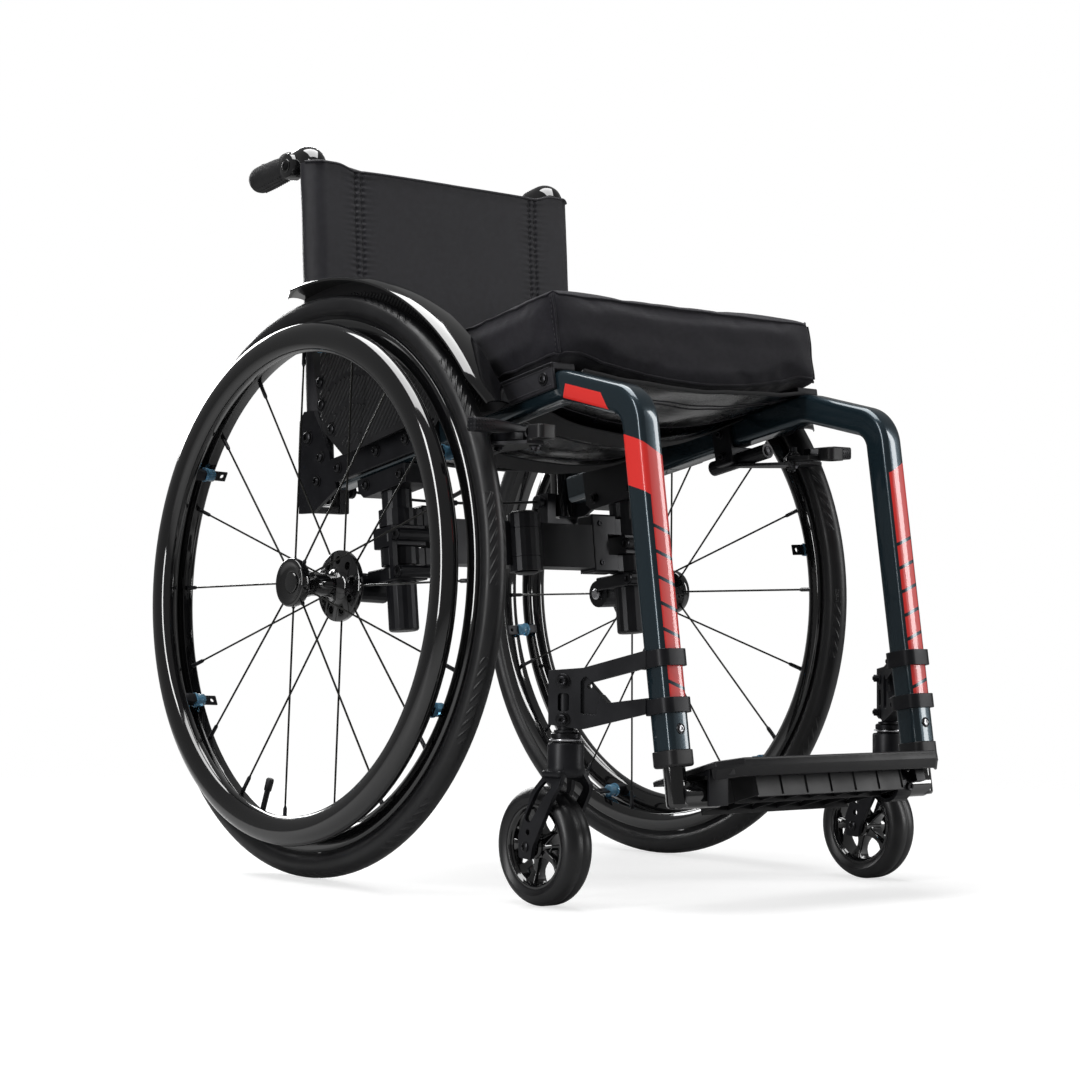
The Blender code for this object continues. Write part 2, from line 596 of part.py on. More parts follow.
def build_back_bracket(name, side):
    """Cheek plate along the rail that carries the back pivot and the release pin's housing."""
    outer, inner = 0.1835, 0.1753
    plate = moved(block((side * inner, 0.185, -0.0120), (side * outer, 0.375, 0.0140), 0.001), RAIL_PLACE)
    upright = [(0.035, 0.3960), (0.078, 0.3720), (0.104, 0.3720), (0.106, 0.4300), (0.104, 0.4700),
               (0.096, 0.4800), (0.078, 0.4800), (0.050, 0.4350)]
    join(plate, prism(upright, side * 0.1790, side * outer))
    low_y = back_line(PLUNGER_Z)
    join(plate, block((side * 0.1380, low_y - 0.007, 0.3725), (side * 0.1800, low_y + 0.007, 0.3790)))
    join(plate, block((side * 0.1380, low_y - 0.008, 0.3730), (side * 0.1500, low_y + 0.008, 0.4070)))
    cut(plate, rod((side * 0.12, low_y, PLUNGER_Z), (side * 0.156, low_y, PLUNGER_Z), 0.0053, 12))
    join(plate, rod((side * 0.1620, *BACK_PIVOT), (side * 0.1800, *BACK_PIVOT), 0.0040, 12))
    part(plate, f"{name}_back_bracket", "black_anodised")


def build_back_post(name, side):
    """Back tube with the elbow that carries the push handle."""
    foot = (side * BACK_X, back_line(BACK_FOOT), BACK_FOOT)
    path = filleted([foot[1:], BACK_TOP, (HANDLE_PIVOT[0] + 0.002, BACK_TOP[1] - 0.004)], (0.0135,), 5)
    rings = []
    total = len(path) - 1
    for i, point in enumerate(path):
        tangent = (path[min(i + 1, total)] - path[max(i - 1, 0)]).normalized()
        normal = Vector((tangent.y, -tangent.x))
        ring = []
        for step in range(16):
            angle = 2 * math.pi * step / 16
            across = BACK_RADIUS * math.cos(angle)
            deep = BACK_RADIUS * math.sin(angle)
            ring.append((side * BACK_X + across, point.x + normal.x * deep, point.y + normal.y * deep))
        rings.append(ring)
    post = swept(rings)
    cut(post, rod((side * 0.15, *BACK_PIVOT), (side * 0.20, *BACK_PIVOT), 0.0042, 12))
    part(post, f"{name}_back_post", "black_anodised", origin=(side * BACK_X, *BACK_PIVOT))


def build_push_handle(name, side):
    """Grip with the disc it folds about."""
    y, z = HANDLE_PIVOT
    x = side * BACK_X
    start = Vector((x, y + 0.018, z - 0.003))
    end = Vector((x, y + 0.078, z - 0.014))
    heading = (end - start).normalized()
    place = Matrix.Translation(start) @ along(heading)
    grip = turned([(0, -0.006), (0.0150, -0.006), (0.0150, 0.002), (0.0125, 0.005), (0.0138, 0.030),
                   (0.0145, 0.055), (0.0135, 0.062), (0.0100, 0.066), (0, 0.067)], 20, place)
    inner, outer = side * (BACK_X + BACK_RADIUS + GAP), side * (BACK_X + 0.0190)
    join(grip, rod((inner, y, z), (outer, y, z), 0.0130, 20))
    join(grip, block((inner, y, z - 0.010), (outer, y + 0.022, z + 0.008)))
    join(grip, block((x, y + 0.0150, z - 0.010), (outer, y + 0.022, z + 0.008)))
    part(grip, f"{name}_push_handle", "grip_rubber", origin=(x, y, z))


def build_release_pin(name, side):
    """Spring pin that locks the back post, pulled inwards by the release cable."""
    y = back_line(PLUNGER_Z)
    pin = rod((side * 0.1532, y, PLUNGER_Z), (side * 0.1330, y, PLUNGER_Z), 0.0050, 12)
    head = rod((side * 0.1330, y, PLUNGER_Z), (side * 0.1275, y, PLUNGER_Z), 0.0075, 12)
    part(join(pin, head), f"{name}_release_pin", "black_anodised", origin=(side * 0.14, y, PLUNGER_Z))


def build_release_cable():
    """Cable between the two release pins, with a little sag."""
    y = back_line(PLUNGER_Z)
    reach = 0.1272
    rings = []
    for i in range(17):
        share = i / 8 - 1
        sag = 0.006 * (1 - share * share)
        ring = [(share * reach, y + a, PLUNGER_Z - sag + b) for a, b in arc((0, 0), 0.0016, 0, 315, 7)]
        rings.append(ring)
    part(swept(rings), "release_cable", "black_plastic")


# ---- side guards -------------------------------------------------------------------------
def build_side_guard(name, side):
    """Clothes guard panel with the curved fender over the tyre."""
    centre = (0, WHEEL_Z)
    fender_arc = arc(centre, FENDER_RADIUS, 75.5, 147.5, 16)
    panel = fender_arc + [(-0.2480, 0.4560), (-0.1300, 0.4560), (0.0050, 0.4280), (0.0420, 0.4560)]
    guard = prism(panel, side * GUARD_X, side * (GUARD_X + 0.0025))
    band = fender_arc + list(reversed(arc(centre, FENDER_RADIUS + 0.0025, 75.5, 147.5, 16)))
    join(guard, prism(band, side * GUARD_X, side * 0.2315))
    part(guard, f"{name}_side_guard", "black_gloss")


# ---- footplate ---------------------------------------------------------------------------
FOOT_PLACE = Matrix.Translation(FOOT_PIVOT) @ Matrix.Rotation(-FOOT_TILT, 4, "X")


def build_footplate():
    """Plate with a front lip, stiffening ribs, its hinge barrel and the rest on the right."""
    front, rear = -0.041, 0.058
    left, right = 0.0, -0.276
    top = 0.0035
    plate = block((right, front + 0.004, top - 0.005), (left - 0.008, rear, top))
    lip_outline = [(right + 0.022, front), (0.000, front), (0.014, front + 0.010),
                   (0.014, front + 0.018), (right, front + 0.018), (right, front + 0.014)]
    bm = bmesh.new()
    face = bm.faces.new([bm.verts.new((x, y, top)) for x, y in lip_outline])
    grown = bmesh.ops.extrude_face_region(bm, geom=[face])["geom"]
    verts = [item for item in grown if isinstance(item, bmesh.types.BMVert)]
    bmesh.ops.translate(bm, verts=verts, vec=(0, 0, -0.016))
    join(plate, temporary(bm))
    depth = -0.030
    join(plate, block((-0.2235, rear - 0.0035, depth), (-0.0300, rear - 0.0005, top - 0.002)))
    for i in range(5):
        x = -0.0320 - 0.0480 * i
        join(plate, block((x, front + 0.006, depth + 0.004), (x + 0.003, rear - 0.002, top - 0.001)))
    join(plate, block((-0.2235, 0.010, depth + 0.002), (-0.0300, 0.013, top - 0.0015)))
    join(plate, rod((0, -0.0095, 0), (0, 0.0095, 0), 0.0055, 16))
    join(plate, block((-0.0125, -0.0090, -0.0010), (-0.0005, 0.0090, top - 0.0003)))
    cut(plate, rod((0, -0.03, 0), (0, 0.03, 0), 0.0033, 12))
    moved(plate, FOOT_PLACE)
    y, z = STUB_POINT
    for low, high, top in ((y - 0.0165, y - 0.0132, z + 0.0255), (y + 0.0132, y + 0.0165, z + 0.0170)):
        join(plate, block((-0.1380, low, z - 0.010), (-0.1160, high, top)))
    part(plate, "footplate", "black_plastic", origin=FOOT_PIVOT)


def build_footplate_bracket():
    """Clamp ring on the left stub with the two hinge lugs and the pin."""
    y, z = STUB_POINT
    ring = rod((0.1100, y, z), (0.1300, y, z), 0.0165, 20)
    for low, high in ((-0.0180, -0.0100), (0.0100, 0.0180)):
        lug = join(rod((0, low, 0), (0, high, 0), 0.0055, 16),
                   block((-0.0070, low, -0.0210), (0.0050, high, 0.0)))
        join(ring, moved(lug, FOOT_PLACE))
    cut(ring, rod((0.09, y, z), (0.16, y, z), STUB_RADIUS + GAP, 20))
    join(ring, moved(rod((0, -0.0180, 0), (0, 0.0180, 0), 0.0030, 12), FOOT_PLACE))
    part(ring, "footplate_bracket", "black_anodised")


# ---- soft parts --------------------------------------------------------------------------
def build_seat_sling():
    """Sling between the rails, sagging in the middle."""
    half = FRAME_X - TUBE_WIDTH / 2 - 0.0010
    steps = 10
    upper = []
    lower = []
    for i in range(steps + 1):
        x = -half + 2 * half * i / steps
        sag = 0.030 * (1 - (x / half) ** 2)
        upper.append((x, 0.0145 - sag))
        lower.append((x, 0.0125 - sag))
    bm = bmesh.new()
    face = bm.faces.new([bm.verts.new((x, -0.006, h)) for x, h in upper + lower[::-1]])
    grown = bmesh.ops.extrude_face_region(bm, geom=[face])["geom"]
    verts = [item for item in grown if isinstance(item, bmesh.types.BMVert)]
    bmesh.ops.translate(bm, verts=verts, vec=(0, 0.318, 0))
    part(moved(temporary(bm), RAIL_PLACE), "seat_sling", "upholstery")


def build_cushion():
    cushion = block((-0.1770, 0.0000, 0.0215), (0.1770, 0.3560, 0.0885), 0.008)
    part(moved(cushion, RAIL_PLACE), "cushion", "upholstery", origin=RAIL_PLACE @ Vector((0, 0.18, 0.0215)))


def build_back_upholstery():
    """Panel between the back posts, joined at each side by a sleeve round the post."""
    low, high = 0.4950, 0.7330
    lean = math.atan2(BACK_TOP[0] - BACK_PIVOT[0], BACK_TOP[1] - BACK_PIVOT[1])
    place = Matrix.Translation((0, back_line(low), low)) @ Matrix.Rotation(-lean, 4, "X")
    tall = (high - low) / math.cos(lean)
    panel = block((-BACK_X, -0.0190, 0), (BACK_X, -0.0140, tall))
    for side in (1, -1):
        join(panel, rod((side * BACK_X, 0, 0), (side * BACK_X, 0, tall), 0.0200, 16))
    for side in (1, -1):
        cut(panel, rod((side * BACK_X, 0, -0.02), (side * BACK_X, 0, tall + 0.02), BACK_RADIUS + 2 * GAP, 16))
    part(moved(panel, place), "back_upholstery", "upholstery", origin=(0, *BACK_PIVOT))


# ---- the whole chair ---------------------------------------------------------------------
def main():
    for old in list(bpy.data.objects):
        bpy.data.objects.remove(old)
    root = bpy.data.objects.new("chair", None)
    bpy.context.scene.collection.objects.link(root)
    root.location = (0, AXLE_Y, 0)
    bpy.context.view_layer.update()
    for name, side in SIDES:
        build_tyre(name, side)
        build_rim(name, side)
        build_handrim(name, side)
        build_hub(name, side)
        build_axle(name, side)
        build_side_frame(name, side)
        build_leg_cap(name, side)
        build_leg_extension(name, side)
        build_axle_bracket(name, side)
        build_axle_post(name, side)
        build_axle_clamp(name, side)
        build_fold_arm(name, side)
        build_caster_bracket(name, side)
        build_caster_fork(name, side)
        build_caster_wheel(name, side)
        build_brake(name, side)
        build_back_bracket(name, side)
        build_back_post(name, side)
        build_push_handle(name, side)
        build_release_pin(name, side)
        build_side_guard(name, side)
    build_fold_pin()
    build_release_cable()
    build_footplate()
    build_footplate_bracket()
    build_seat_sling()
    build_cushion()
    build_back_upholstery()


main()
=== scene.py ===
"""Visual model of the folding active wheelchair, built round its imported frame.

Pieces are modelled in the chair's own frame, whose origin lies on the floor under the middle
of the rear axle line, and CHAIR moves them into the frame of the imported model.
"""
import math

import bmesh
import bpy
import numpy as np
from mathutils import Matrix, Vector, noise
from mathutils.bvhtree import BVHTree


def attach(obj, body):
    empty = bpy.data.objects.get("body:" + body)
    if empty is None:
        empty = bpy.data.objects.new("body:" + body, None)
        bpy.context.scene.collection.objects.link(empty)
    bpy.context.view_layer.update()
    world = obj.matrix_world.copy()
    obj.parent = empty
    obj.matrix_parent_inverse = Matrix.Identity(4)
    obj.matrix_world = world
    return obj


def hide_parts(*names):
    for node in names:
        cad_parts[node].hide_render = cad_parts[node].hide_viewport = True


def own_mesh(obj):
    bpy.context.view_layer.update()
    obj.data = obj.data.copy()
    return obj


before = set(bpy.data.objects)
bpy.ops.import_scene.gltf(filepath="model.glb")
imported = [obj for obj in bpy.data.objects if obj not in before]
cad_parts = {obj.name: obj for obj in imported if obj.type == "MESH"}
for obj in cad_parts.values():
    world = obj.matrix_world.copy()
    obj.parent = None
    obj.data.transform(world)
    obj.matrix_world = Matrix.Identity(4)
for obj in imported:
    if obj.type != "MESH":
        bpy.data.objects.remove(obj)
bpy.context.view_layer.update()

# ---- driving dimensions, in metres, as in the CAD ----------------------------------------
CHAIR = Matrix.Translation((0, 0.1043, 0))
SIDES = (("left", 1), ("right", -1))
CAMBER = math.radians(2.2)
TYRE_SECTION = 0.0125
WHEEL_RING = 0.2825
HALF_TRACK = 0.229
WHEEL_Z = WHEEL_RING * math.cos(CAMBER) + TYRE_SECTION
RIM_OUTER, RIM_INNER = 0.2695, 0.2500
HANDRIM_RING, HANDRIM_OFFSET = 0.2481, 0.0306
HANDRIM_RADIAL, HANDRIM_AXIAL = 0.0150, 0.0118
SPOKES = 18

FRAME_X = 0.162
TUBE_WIDTH, RAIL_DEPTH, LEG_DEPTH = 0.026, 0.031, 0.027
RAIL_REAR, KINK = (0.055, 0.4113), (-0.3115, 0.4777)
BEND, LEG_END = (-0.4077, 0.4541), (-0.4535, 0.1425)
RAIL_SLOPE = math.atan2(KINK[1] - RAIL_REAR[1], RAIL_REAR[0] - KINK[0])
RAIL = Matrix.Translation((0, *KINK)) @ Matrix.Rotation(-RAIL_SLOPE, 4, "X")
LEG_LEAN = math.atan2(BEND[0] - LEG_END[0], BEND[1] - LEG_END[1])
LEG = Matrix.Translation((0, *LEG_END)) @ Matrix.Rotation(-LEG_LEAN, 4, "X")
STUB_POINT, STUB_RADIUS, STUB_END_X = (-0.4597, 0.1035), 0.0125, 0.113
FOLD_TILT = math.radians(6.1)
POST_X, FOLD_POINT = 0.1555, (-0.0372, 0.340)

CASTER_X, CASTER_STEM_Y = 0.2147, -0.3702
CASTER_AXLE, CASTER_RADIUS = (-0.3415, 0.0537), 0.0537
BACK_X, BACK_PIVOT, BACK_TOP = 0.166, (0.0878, 0.452), (0.1068, 0.757)
HANDLE_PIVOT = (0.1330, 0.7480)
PLUNGER_Z = 0.397
FOOT_PIVOT = Vector((0.136, -0.460, 0.1235))
FOOT = Matrix.Translation(FOOT_PIVOT) @ Matrix.Rotation(-math.radians(15), 4, "X")
GUARD_X, FENDER_RADIUS = 0.195, 0.3115
BRAKE_Z = 0.4225
BRAKE_PIVOT, LEVER_PIVOT = (0.1980, -0.2500), (0.1740, -0.2760)


# ---- camera ------------------------------------------------------------------------------
def make_camera():
    """Camera at the viewing angle of the picture, with an upright sensor 36 mm wide."""
    data = bpy.data.cameras.new("camera")
    data.sensor_width = 36.0
    data.lens = 79.894
    data.clip_start, data.clip_end = 0.05, 50
    yaw, pitch, roll = math.radians(39.849), math.radians(2.450), math.radians(0.3097)
    forward = Vector((math.sin(yaw) * math.cos(pitch), math.cos(yaw) * math.cos(pitch),
                      math.sin(pitch)))
    level = Vector((math.cos(yaw), -math.sin(yaw), 0))
    upward = level.cross(forward)
    right = level * math.cos(roll) + upward * math.sin(roll)
    up = upward * math.cos(roll) - level * math.sin(roll)
    camera = bpy.data.objects.new("camera", data)
    turn = Matrix((right, up, -forward)).transposed().to_4x4()
    camera.matrix_world = CHAIR @ Matrix.Translation((-1.61289, -2.00792, 0.23722)) @ turn
    bpy.context.scene.collection.objects.link(camera)
    bpy.context.scene.camera = camera


make_camera()


# ---- materials ---------------------------------------------------------------------------
class Paint:
    """A Principled material and short ways to add procedural detail to it."""

    def __init__(self, name, colour, roughness, metallic=0.0, **sockets):
        self.material = bpy.data.materials.new(name)
        self.material.use_nodes = True
        self.tree = self.material.node_tree
        self.shader = self.tree.nodes["Principled BSDF"]
        self.colour, self.roughness = colour, roughness
        self.shader.inputs["Base Color"].default_value = (*colour, 1)
        self.shader.inputs["Roughness"].default_value = roughness
        self.shader.inputs["Metallic"].default_value = metallic
        for socket, value in sockets.items():
            label = socket.replace("_", " ").title().replace("Ior", "IOR")
            self.shader.inputs[label].default_value = value
        self.normal = None
        self.place = self.tree.nodes.new("ShaderNodeTexCoord").outputs["Object"]

    def node(self, kind, **values):
        made = self.tree.nodes.new("ShaderNode" + kind)
        for key, value in values.items():
            if isinstance(value, bpy.types.NodeSocket):
                self.tree.links.new(value, made.inputs[key])
            elif key in made.inputs:
                made.inputs[key].default_value = value
            else:
                setattr(made, key, value)
        return made

    def math(self, operation, first, second=0.0, third=None):
        made = self.tree.nodes.new("ShaderNodeMath")
        made.operation = operation
        for index, value in enumerate((first, second, third)):
            if isinstance(value, bpy.types.NodeSocket):
                self.tree.links.new(value, made.inputs[index])
            elif value is not None:
                made.inputs[index].default_value = value
        return made.outputs[0]

    def noise(self, scale, detail=3.0, stretch=None):
        where = self.place
        if stretch:
            where = self.node("Mapping", Vector=self.place, Scale=stretch).outputs[0]
        return self.node("TexNoise", Vector=where, Scale=scale, Detail=detail).outputs["Fac"]

    def attribute(self, name):
        return self.node("Attribute", attribute_name=name).outputs["Fac"]

    def ramp(self, value, low, high, start=0.0, end=1.0):
        return self.node("MapRange", Value=value, **{"From Min": low, "From Max": high,
                                                     "To Min": start, "To Max": end}).outputs[0]

    def mix(self, factor, first, second):
        made = self.tree.nodes.new("ShaderNodeMix")
        made.data_type = "RGBA"
        for index, value in ((0, factor), (6, first), (7, second)):
            if isinstance(value, bpy.types.NodeSocket):
                self.tree.links.new(value, made.inputs[index])
            elif isinstance(value, (int, float)):
                made.inputs[index].default_value = value
            else:
                made.inputs[index].default_value = (*value, 1)
        return made.outputs[2]

    def base(self, socket):
        self.tree.links.new(socket, self.shader.inputs["Base Color"])

    def rough(self, socket):
        self.tree.links.new(socket, self.shader.inputs["Roughness"])

    def bump(self, height, strength, distance):
        made = self.node("Bump", Strength=strength, Distance=distance, Height=height)
        if self.normal:
            self.tree.links.new(self.normal, made.inputs["Normal"])
        self.normal = made.outputs[0]
        self.tree.links.new(self.normal, self.shader.inputs["Normal"])

    def worn(self, light, amount=0.25, scale=25.0):
        """Slow change of colour towards a lighter tone, and of roughness with it."""
        field = self.noise(scale, 5.0)
        self.base(self.mix(self.ramp(field, 0.35, 0.75, 0.0, amount), self.colour, light))
        self.rough(self.ramp(field, 0.25, 0.8, self.roughness * 0.85, self.roughness * 1.2))


def weave(paint, pitch, strength, distance, twill=False):
    """Fine over-and-under threads in all three directions."""
    parts = paint.node("SeparateXYZ", Vector=paint.place).outputs
    turn = 2 * math.pi / pitch
    waves = []
    for axis in range(3):
        shifted = parts[axis]
        if twill:
            shifted = paint.math("ADD", parts[axis], paint.math("MULTIPLY", parts[(axis + 1) % 3], 0.5))
        waves.append(paint.math("SINE", paint.math("MULTIPLY", shifted, turn)))
    total = paint.math("ADD", paint.math("MULTIPLY", waves[0], waves[1]),
                       paint.math("MULTIPLY", waves[1], waves[2]))
    total = paint.math("ADD", total, paint.math("MULTIPLY", waves[2], waves[0]))
    paint.bump(total, strength, distance)
    return total


def decal_paint():
    """Dark petrol metallic lacquer with the red bands, masked along and across the tube."""
    p = Paint("frame_lacquer", (0.016, 0.034, 0.046), 0.26, 0.55, coat_weight=0.8, coat_roughness=0.06)
    flakes = p.ramp(p.noise(1800, 2.0), 0.45, 0.75, 0.0, 0.35)
    body = p.mix(flakes, (0.014, 0.030, 0.041), (0.050, 0.082, 0.100))
    h, a, b = p.attribute("up_leg"), p.attribute("outward"), p.attribute("forward")
    run = p.attribute("along_bend")

    def both(*tests):
        value = tests[0]
        for test in tests[1:]:
            value = p.math("MULTIPLY", value, test)
        return value

    def above(value, limit):
        return p.math("GREATER_THAN", value, limit)

    def below(value, limit):
        return p.math("LESS_THAN", value, limit)

    # the wrap round the top of the leg: its ends slope down towards the front and inwards
    slope = p.math("MULTIPLY", p.math("ADD", b, 0.0135), -0.45)
    top = p.math("ADD", 0.2890, p.math("ADD", slope, p.math("MULTIPLY", p.math("SUBTRACT", a, 0.013),
                                                            0.55)))
    bottom = p.math("SUBTRACT", top, 0.0468)
    wrap = both(below(h, top), above(h, bottom), above(a, -0.0108))
    # the band down the inner part of the leg's front, cut by slanted dark gaps
    gaps = p.math("ADD", h, p.math("MULTIPLY", a, -0.38))
    cycle = p.math("FRACT", p.math("DIVIDE", p.math("SUBTRACT", gaps, 0.1982 - 0.0233 * 8), 0.0233))
    solid = p.math("MAXIMUM", p.math("GREATER_THAN", gaps, 0.2000), below(cycle, 0.854))
    stripe = both(above(a, -0.0108), below(a, 0.0088), above(b, 0.004),
                  below(h, p.math("ADD", bottom, 0.001)),
                  solid, above(h, 0.040))
    # the patch on the outer side of the bend
    slant = p.math("ADD", 0.0620, p.math("MULTIPLY", b, -1.05))
    patch = both(above(a, 0.0122), above(run, 0.0085), below(run, slant), above(b, -0.0118),
                 below(b, 0.0022))
    red = p.math("MAXIMUM", p.math("MAXIMUM", wrap, stripe), patch)
    p.base(p.mix(red, body, (0.86, 0.028, 0.022)))
    p.tree.links.new(p.ramp(red, 0, 1, 0.55, 0.0), p.shader.inputs["Metallic"])
    p.rough(p.ramp(red, 0, 1, 0.26, 0.38))
    p.bump(p.noise(260, 3.0), 0.04, 0.0003)
    return p.material


def make_materials():
    made = {"lacquer": decal_paint()}

    p = Paint("anodised_black", (0.0060, 0.0062, 0.0085), 0.40, 0.35)
    p.worn((0.016, 0.0165, 0.020), 0.5, 40)
    p.bump(p.noise(2500, 2.0), 0.10, 0.0001)
    made["anodised"] = p.material

    p = Paint("gloss_black", (0.0045, 0.0045, 0.005), 0.07, 0.0, coat_weight=1.0, coat_roughness=0.03)
    p.rough(p.ramp(p.noise(60, 4.0), 0.3, 0.8, 0.05, 0.14))
    p.bump(p.noise(30, 1.0), 0.008, 0.0004)
    made["gloss"] = p.material

    p = Paint("moulded_black", (0.0060, 0.0060, 0.0072), 0.46)
    p.worn((0.014, 0.014, 0.016), 0.4, 30)
    p.bump(p.noise(1500, 3.0), 0.25, 0.00015)
    made["plastic"] = p.material

    p = Paint("drive_tyre_rubber", (0.007, 0.007, 0.008), 0.40)
    around, across = p.attribute("around"), p.attribute("across")
    slanted = p.math("ADD", p.math("MULTIPLY", around, 520.0),
                     p.math("MULTIPLY", p.math("ABSOLUTE", across), 900.0))
    grooves = p.math("SMOOTH_MAX", p.math("SINE", slanted), 0.2, 0.3)
    band = p.math("MULTIPLY", p.math("GREATER_THAN", p.math("ABSOLUTE", across), 0.0035),
                  p.math("LESS_THAN", p.math("ABSOLUTE", across), 0.0115))
    patches = p.math("GREATER_THAN", p.math("SINE", p.math("MULTIPLY", around, 42.0)), -0.2)
    p.bump(p.math("MULTIPLY", p.math("MULTIPLY", grooves, band), patches), 0.9, 0.0007)
    p.bump(p.noise(900, 3.0), 0.12, 0.0002)
    p.base(p.mix(p.ramp(p.noise(30, 4.0), 0.4, 0.75, 0.0, 0.5), (0.0065, 0.0065, 0.0075),
                 (0.015, 0.015, 0.0165)))
    p.rough(p.ramp(p.noise(50, 3.0), 0.3, 0.7, 0.34, 0.46))
    made["tyre"] = p.material

    p = Paint("caster_polyurethane", (0.006, 0.006, 0.007), 0.36)
    p.worn((0.014, 0.014, 0.015), 0.45, 45)
    p.bump(p.noise(700, 3.0), 0.10, 0.0002)
    made["caster_tyre"] = p.material

    p = Paint("grip_rubber", (0.009, 0.009, 0.010), 0.58)
    cells = p.node("TexVoronoi", Vector=p.place, Scale=420.0).outputs["Distance"]
    p.bump(cells, 0.5, 0.0006)
    p.worn((0.030, 0.030, 0.032), 0.4, 60)
    made["grip"] = p.material

    p = Paint("cushion_cloth", (0.0060, 0.0054, 0.0085), 0.85, sheen_weight=0.14, sheen_roughness=0.5,
              specular_ior_level=0.25)
    threads = weave(p, 0.0007, 0.35, 0.00018)
    mottled = p.math("ADD", p.ramp(p.noise(220, 4.0), 0.3, 0.7, 0.0, 0.55),
                     p.ramp(threads, -1.5, 1.5, 0.0, 0.35))
    p.base(p.mix(mottled, (0.0045, 0.0040, 0.0068), (0.0125, 0.0112, 0.0175)))
    p.bump(p.noise(9, 3.0), 0.05, 0.003)
    made["cushion"] = p.material

    p = Paint("back_cloth", (0.0070, 0.0066, 0.0095), 0.50, sheen_weight=0.12, sheen_roughness=0.4,
              specular_ior_level=0.4)
    threads = weave(p, 0.0006, 0.28, 0.00014, twill=True)
    mottled = p.math("ADD", p.ramp(p.noise(160, 4.0), 0.3, 0.7, 0.0, 0.5),
                     p.ramp(threads, -1.5, 1.5, 0.0, 0.3))
    p.base(p.mix(mottled, (0.0055, 0.0052, 0.0078), (0.0150, 0.0142, 0.0200)))
    p.bump(p.noise(16, 4.0, (1.0, 1.0, 0.35)), 0.22, 0.004)
    made["back"] = p.material

    p = Paint("coated_cloth", (0.0045, 0.0045, 0.0055), 0.20, coat_weight=0.35, coat_roughness=0.15)
    weave(p, 0.0009, 0.10, 0.0001)
    p.bump(p.noise(14, 4.0, (0.5, 1.8, 1.0)), 0.55, 0.006)
    p.rough(p.ramp(p.noise(40, 3.0), 0.3, 0.7, 0.18, 0.32))
    made["sling"] = p.material

    p = Paint("webbing", (0.0070, 0.0068, 0.0080), 0.75)
    ribs = p.node("TexWave", Vector=p.place, Scale=420.0, bands_direction="DIAGONAL").outputs["Fac"]
    p.bump(ribs, 0.4, 0.0003)
    p.base(p.mix(ribs, (0.005, 0.005, 0.006), (0.013, 0.013, 0.015)))
    made["webbing"] = p.material

    p = Paint("thread", (0.030, 0.029, 0.034), 0.70)
    p.bump(p.node("TexWave", Vector=p.place, Scale=900.0).outputs["Fac"], 0.4, 0.0002)
    made["thread"] = p.material

    p = Paint("black_screw", (0.020, 0.020, 0.022), 0.30, 0.85)
    p.worn((0.060, 0.060, 0.064), 0.5, 120)
    made["screw"] = p.material

    p = Paint("bright_steel", (0.58, 0.58, 0.60), 0.24, 1.0)
    p.rough(p.ramp(p.noise(300, 3.0, (1, 1, 8)), 0.3, 0.7, 0.18, 0.34))
    made["steel"] = p.material

    p = Paint("cut_alloy", (0.28, 0.285, 0.29), 0.45, 0.8)
    p.bump(p.noise(900, 3.0), 0.25, 0.0002)
    p.worn((0.42, 0.43, 0.44), 0.5, 150)
    made["cut"] = p.material

    p = Paint("spoke_black", (0.022, 0.022, 0.020), 0.34, 0.7)
    p.rough(p.ramp(p.noise(200, 2.0), 0.3, 0.7, 0.28, 0.42))
    made["spoke"] = p.material

    p = Paint("clear_blue", (0.22, 0.50, 0.72), 0.10, transmission_weight=0.60, ior=1.49)
    p.bump(p.noise(200, 2.0), 0.05, 0.0002)
    p.rough(p.ramp(p.noise(150, 2.0), 0.3, 0.7, 0.06, 0.16))
    made["blue"] = p.material
    return made


LOOK = make_materials()


# ---- mesh building blocks ----------------------------------------------------------------
def fresh():
    return bmesh.new()


def along(direction, roll_axis="Y"):
    """Rotation that turns local +Z to the direction."""
    return Vector(direction).to_track_quat("Z", roll_axis).to_matrix().to_4x4()


def at(point, direction=(0, 0, 1)):
    return Matrix.Translation(Vector(point)) @ along(direction)


def turned(place, x, y, z):
    """Unit direction of a frame's x, y, z in the chair frame."""
    return (place.to_3x3() @ Vector((x, y, z))).normalized()


def arc(centre, radius, start, end, steps):
    angles = [math.radians(start + (end - start) * i / steps) for i in range(steps + 1)]
    return [(centre[0] + radius * math.cos(t), centre[1] + radius * math.sin(t)) for t in angles]


def rounded_rectangle(width, depth, radius, steps=4):
    points = []
    for start, sx, sy in ((0, 1, 1), (90, -1, 1), (180, -1, -1), (270, 1, -1)):
        centre = (sx * (width / 2 - radius), sy * (depth / 2 - radius))
        points += arc(centre, radius, start, start + 90, steps)
    return points


def filleted(points, radii, steps=8):
    """The outline with each inner point rounded to its radius."""
    line = [Vector(points[0])]
    for before, corner, after, radius in zip(points, points[1:], points[2:], radii):
        corner = Vector(corner)
        u = (Vector(before) - corner).normalized()
        v = (Vector(after) - corner).normalized()
        half = u.angle(v) / 2
        reach = radius / math.tan(half)
        centre = corner + (u + v).normalized() * (radius / math.sin(half))
        first, last = corner + u * reach - centre, corner + v * reach - centre
        for i in range(steps + 1):
            line.append(centre + first.lerp(last, i / steps).normalized() * radius)
    line.append(Vector(points[-1]))
    return line


def rounded(points, radius, steps=4):
    """Closed outline with every corner rounded."""
    count = len(points)
    line = []
    for i, corner in enumerate(points):
        bend = filleted([points[i - 1], corner, points[(i + 1) % count]], (radius,), steps)
        line += [tuple(p) for p in bend[1:-1]]
    return line


